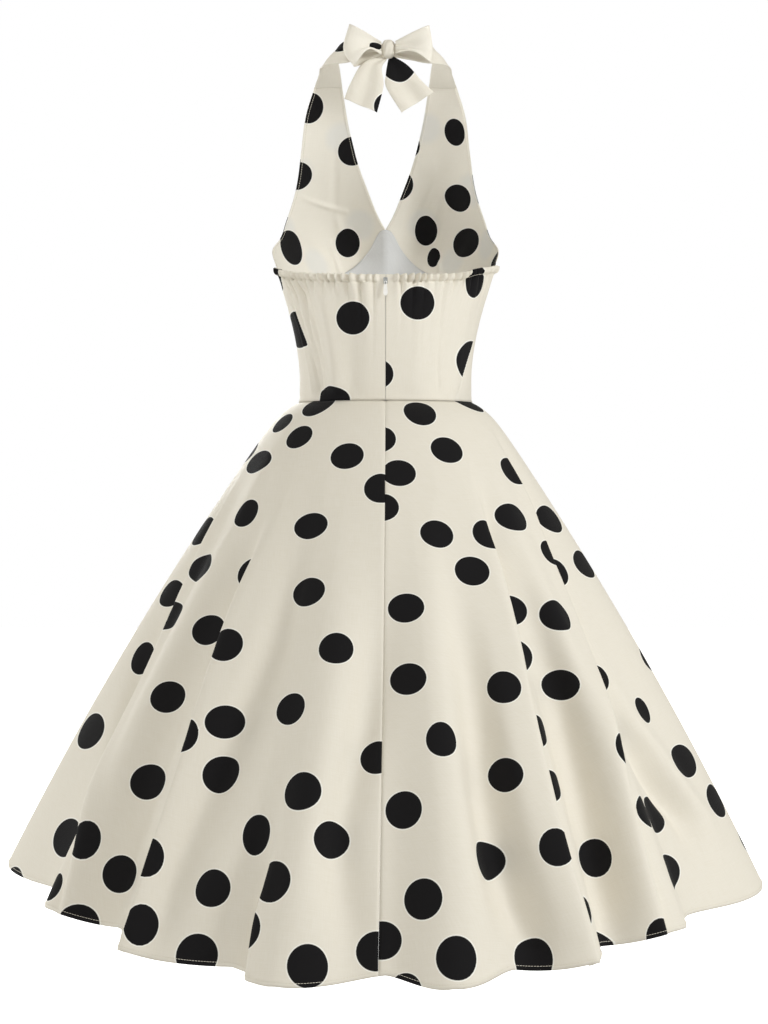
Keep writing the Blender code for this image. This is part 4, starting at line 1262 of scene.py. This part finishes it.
def sew_stitches(name, seams):
    """Topstitching on one piece: for each row its edge, its inset and the face that it shows on."""
    bm = bmesh.new()
    for edge, inset, face in seams:
        path, outward = seam_path(name, edge, inset)
        raised = STITCH_RISE / 4
        path = path + outward * (raised if face == OUTSIDE else -printed[name]["wall"] - raised)
        gone = np.concatenate([[0], np.cumsum(np.linalg.norm(np.diff(path, axis=0), axis=1))])
        for at in np.arange(STITCH_PITCH / 2, gone[-1] - STITCH_PITCH / 2, STITCH_PITCH):
            here, ahead, up = (
                Vector([np.interp(place, gone, values[:, axis]) for axis in range(3)])
                for place, values in ((at, path), (at + STITCH_PITCH / 4, path), (at, outward))
            )
            along = (ahead - here).normalized()
            up = (up - along * up.dot(along)).normalized()
            sizes = (along * STITCH_LENGTH, along.cross(up) * STITCH_WIDTH, up * STITCH_RISE)
            turned = Matrix(sizes).transposed().to_4x4()
            bmesh.ops.create_cube(bm, size=1.0, matrix=Matrix.Translation(here) @ turned)
    mesh = mesh_of(f"{name}_stitches", bm)
    mesh.materials.append(thread)
    stitches = link_object(f"{name}_stitches", mesh)
    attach(stitches, "dress")
    return stitches


for name in SKIRT_PANELS:
    sew_stitches(f"{name}_cloth", [("bottom", HEM_STITCHES, OUTSIDE)])
for side in ("left", "right"):
    sew_stitches(
        f"back_bodice_{side}_cloth", [("top", CASING_DEPTH, OUTSIDE)],
    )
    sew_stitches(
        f"halter_{side}_cloth",
        [(edge, EDGE_SEAM, face) for edge in ("start", "end") for face in (OUTSIDE, INSIDE)],
    )


# ---------------------------------------------------------------------------------------------
# The print: where the dots fall. Those on the back are placed by where they show; the rest are
# tossed over the cloth, their middles 66 mm apart or more.
# ---------------------------------------------------------------------------------------------
# Each whole dot as it shows from the back, in pixels of the view: its middle across and down, its
# width and its height.
DOTS = (
    (455, 132, 20, 25), (459, 198, 24, 26), (426, 230, 23, 29), (434, 259, 13, 20), (348, 243, 25, 29),
    (467, 243, 22, 29), (290, 248, 20, 35), (418, 303, 35, 33), (353, 318, 32, 33), (420, 412, 32, 25),
    (282, 423, 16, 19), (299, 437, 25, 23), (447, 450, 32, 26), (347, 456, 33, 26), (258, 462, 22, 23),
    (399, 473, 34, 26), (246, 513, 24, 27), (514, 517, 30, 27), (551, 519, 23, 27), (311, 526, 32, 26),
    (437, 534, 32, 27), (202, 531, 18, 28), (585, 564, 20, 27), (203, 568, 28, 28), (472, 571, 35, 28),
    (308, 592, 31, 28), (406, 608, 36, 28), (559, 615, 32, 29), (336, 648, 36, 29), (408, 679, 36, 30),
    (561, 685, 36, 30), (504, 687, 35, 30), (168, 697, 37, 30), (291, 709, 28, 30), (225, 722, 40, 32),
    (90, 731, 30, 34), (442, 739, 32, 32), (684, 761, 32, 31), (223, 775, 39, 34), (505, 775, 31, 33),
    (149, 782, 37, 33), (301, 791, 38, 35), (404, 810, 36, 35), (257, 835, 28, 38), (330, 840, 29, 36),
    (595, 858, 36, 36), (484, 861, 25, 36), (120, 874, 36, 36), (212, 888, 37, 35), (423, 899, 37, 38),
    (141, 925, 35, 37), (457, 958, 42, 40), (308, 966, 41, 40),
)
# Each dot cut off by an edge, a seam or a fold: where some of it shows, how far right of there and
# below it its middle is, and its whole width and height.
CUT_DOTS = (
    (340, 47, 4, -2, 17, 15), (398, 68, 1, -2, 32, 33), (379, 102, 10, 4, 30, 28),
    (358, 101, 0, 18, 38, 24), (375, 46, 0, 0, 13, 7), (315, 108, -5, 0, 26, 27), (347, 151, 5, 0, 28, 26),
    (418, 145, -10, 0, 24, 24), (306, 178, -8, -1, 26, 26), (408, 187, -8, -1, 26, 26),
    (280, 277, -6, 0, 24, 34), (475, 281, 1, 0, 26, 34), (495, 262, 6, 0, 18, 22), (297, 330, 1, 0, 30, 36),
    (462, 363, 9, -3, 28, 40), (388, 374, -11, 0, 33, 30), (332, 394, 0, 8, 32, 32),
    (318, 408, 0, -4, 28, 28), (469, 405, -1, -4, 24, 20), (389, 439, -9, 0, 32, 26),
    (252, 456, -5, -4, 14, 20), (371, 488, 10, 0, 34, 29), (390, 507, -8, 0, 34, 27),
    (510, 473, 4, -2, 26, 27), (484, 534, 5, 0, 32, 28), (545, 553, 7, 0, 20, 24),
    (562, 572, -7, 0, 26, 27), (241, 574, 10, -1, 26, 28), (168, 593, 3, 0, 24, 26),
    (515, 610, -6, 0, 36, 29), (176, 618, -9, -1, 32, 28), (207, 630, 2, 0, 34, 29),
    (230, 648, -5, -3, 36, 31), (524, 654, -9, 0, 33, 32), (140, 657, 3, 1, 24, 31),
    (644, 659, 6, 1, 14, 24), (604, 680, -8, -1, 26, 28), (645, 710, -3, 0, 14, 25),
    (543, 727, -10, 0, 34, 34), (189, 736, -6, -1, 30, 32), (620, 747, 9, 1, 26, 32),
    (370, 757, 7, 0, 32, 30), (557, 782, -10, 0, 34, 33), (716, 801, 1, 0, 20, 31),
    (655, 816, -3, -2, 27, 34), (643, 811, 5, 2, 18, 30), (65, 837, 3, 0, 32, 36),
    (88, 842, -4, -2, 34, 36), (555, 847, 2, 0, 36, 35), (153, 858, -6, -1, 34, 37),
    (670, 870, -5, 0, 28, 32), (14, 868, -3, 14, 24, 32), (743, 844, 7, -2, 17, 28),
    (276, 881, -4, 1, 36, 38), (60, 889, -9, -1, 20, 26), (588, 910, -14, -1, 36, 36),
    (78, 916, 0, 8, 44, 38), (256, 930, -12, 1, 32, 37), (662, 932, 1, 5, 34, 36), (367, 951, 9, 0, 40, 35),
    (391, 941, -9, 0, 40, 35), (197, 950, 0, 5, 43, 40), (601, 940, -7, 8, 38, 36),
    (533, 955, 0, 5, 40, 38), (406, 974, -1, 14, 32, 30),
)
DOT_REACH = 0.040
STEEPEST = 0.3
STEEPEST_SLOPE = 0.2
LEAST_STRETCH = 0.2
TALLEST = 1.6
WIDEST = 1.6
WIDEST_CUT = 2.2
SIGHT_SLACK = 0.004
TOSS_SEED = 7
TOSS_TRIES = 6000
TOSS_SPACING = 0.066
TOSS_FROM = 0.02
TOSS_LOOKS = 8  # places round a tossed dot's edge that must all be out of sight
TOSS_LOOK_OUT = 1.1
LEAST_CELL = 1e-4

tree_points = []
tree_faces = []
tree_cells = []
for name, entry in printed.items():
    grid = entry["points"]
    n_across, n_down = grid.shape[:2]
    first = len(tree_points)
    tree_points += [Vector(p) for p in grid.reshape(-1, 3)]
    for a in range(n_across - 1):
        for d in range(n_down - 1):
            at = first + a * n_down + d
            tree_faces.append((at, at + n_down, at + n_down + 1, at + 1))
            tree_cells.append((name, a, d))
tree = BVHTree.FromPolygons(tree_points, tree_faces)


def read_grid(values, a, d):
    """A grid's value between its points."""
    a = min(max(a, 0), values.shape[0] - 1.001)
    d = min(max(d, 0), values.shape[1] - 1.001)
    i, j = int(a), int(d)
    u, w = a - i, d - j
    return mix(mix(values[i, j], values[i + 1, j], u), mix(values[i, j + 1], values[i + 1, j + 1], u), w)


def cell_at(hit, cell):
    """The piece, and how far across and down its grid, of a point on it."""
    name, a, d = cell
    grid = printed[name]["points"]
    corner = grid[a, d]
    along, down = grid[a + 1, d] - corner, grid[a, d + 1] - corner
    gone = np.array(hit) - corner
    return name, a + float(gone @ along) / float(along @ along), d + float(gone @ down) / float(down @ down)


def dot_at(across_px, down_px):
    """The cloth that shows at a place in the view: the piece, its grid place, the point and normal."""
    heading = Vector(((EYE_ACROSS_PX - across_px) / FOCAL_PX, -1, (EYE_DOWN_PX - down_px) / FOCAL_PX))
    hit, normal, index, _ = tree.ray_cast(EYE, heading.normalized())
    return (*cell_at(hit, tree_cells[index]), hit, normal) if hit else None


def slide(hit, normal, right_px, below_px):
    """A point moved over the cloth by so many pixels of the view."""
    size = (EYE.y - hit.y) / FOCAL_PX
    x, z = -right_px * size, -below_px * size
    steep = max(abs(normal.y), STEEPEST) * (1 if normal.y >= 0 else -1)
    return np.array(hit + Vector((x, -(normal.x * x + normal.z * z) / steep, z)))


def stretched(hit, normal, wide_px, tall_px, widest):
    """How much wider and taller than a plain dot the cloth's pull and turn make one look."""
    size = (EYE.y - hit.y) / FOCAL_PX / (2 * DOT_RADIUS)
    turned = max(STEEPEST, abs(normal.y) / math.hypot(normal.x, normal.y))
    sloped = max(STEEPEST, math.sqrt(1 - normal.z**2))
    wide = wide_px * size / turned
    across_slope = 1 / (tall_px * size / sloped) ** 2 - (normal.z / wide) ** 2
    tall = sloped / math.sqrt(max(across_slope, STEEPEST_SLOPE))
    return min(max(wide, LEAST_STRETCH), widest), min(max(tall, LEAST_STRETCH), TALLEST)


def print_dot(name, a, d, centre, attribute, wide=1.0, tall=1.0):
    """Prints one dot on a piece: its ink stops a radius from the centre, or at a fold or seam."""
    entry = printed[name]
    across, down = entry["across"], entry["down"]
    i = int(np.clip(round(a), 0, across.shape[0] - 1))
    j = int(np.clip(round(d), 0, across.shape[1] - 1))
    aside = across - across[i][None, :]
    below = down - down[:, j][:, None]
    past = np.linalg.norm((entry["points"] - centre) / (wide, wide, tall), axis=2) - DOT_RADIUS
    near = np.hypot(aside / wide, below / tall) < DOT_REACH * (2 if entry["facing"] else 1)
    for sides in entry.get("sides", ()):
        near &= (sides == sides[i, j]) | (sides * sides[i, j] == 0)
    if "past_seam" in entry:
        past = np.maximum(past, -entry["past_seam"] * np.sign(entry["past_seam"][i, j]))
    past = np.where(near, past, DOT_FAR)
    entry[attribute] = np.minimum(entry[attribute], past)


for entry in printed.values():
    for attribute in ("past_dot", "past_inner_dot"):
        entry[attribute] = np.full(entry["across"].shape, DOT_FAR)

placed = []
whole_dots = [(*dot[:2], 0, 0, *dot[2:]) for dot in DOTS]
for across_px, down_px, right_px, below_px, wide_px, tall_px in (*whole_dots, *CUT_DOTS):
    name, a, d, hit, normal = dot_at(across_px, down_px)
    attribute = "past_inner_dot" if normal.dot(hit - EYE) > 0 else "past_dot"
    centre = slide(hit, normal, right_px, below_px)
    widest = WIDEST if right_px == below_px == 0 else WIDEST_CUT
    print_dot(name, a, d, centre, attribute, *stretched(hit, normal, wide_px, tall_px, widest))
    if attribute == "past_dot":
        placed.append(centre)


def shows(point):
    """Whether a point of the cloth shows from where the dress is seen."""
    heading = Vector(point) - EYE
    hit, _, _, distance = tree.ray_cast(EYE, heading.normalized())
    return hit is None or distance > heading.length - SIGHT_SLACK


rng = np.random.default_rng(TOSS_SEED)
names = list(printed)
weights = np.array([e["across"][-1].mean() * e["down"][:, -1].mean() for e in printed.values()])
for _ in range(TOSS_TRIES):
    name = names[rng.choice(len(names), p=weights / weights.sum())]
    entry = printed[name]
    grid = entry["points"]
    cells_across, cells_down = grid.shape[0] - 1, grid.shape[1] - 1
    a = rng.uniform(0, cells_across)
    d = cells_down * math.sqrt(rng.uniform(TOSS_FROM, 1))
    point = read_grid(grid, a, d)
    if not entry["facing"]:  # the outer face of the halter is never in sight from the back
        cell_across = max(LEAST_CELL, entry["across"][-1, int(d)] / cells_across)
        cell_down = max(LEAST_CELL, entry["down"][int(a), -1] / cells_down)
        looks = [(a, d)]
        for t in np.linspace(0, 2 * math.pi, TOSS_LOOKS, endpoint=False):
            out = TOSS_LOOK_OUT * DOT_RADIUS
            looks.append((a + out / cell_across * math.cos(t), d + out / cell_down * math.sin(t)))
        if any(shows(read_grid(grid, *look)) for look in looks):
            continue
    if min(np.linalg.norm(np.array(placed) - point, axis=1)) < TOSS_SPACING:
        continue
    print_dot(name, a, d, point, "past_dot")
    placed.append(point)

for entry in printed.values():
    mesh = entry["piece"].data
    for attribute in ("past_dot", "past_inner_dot"):
        layer = mesh.attributes.new(attribute, "FLOAT", "POINT")
        layer.data.foreach_set("value", entry[attribute][entry["i"], entry["j"]].astype(np.float32))
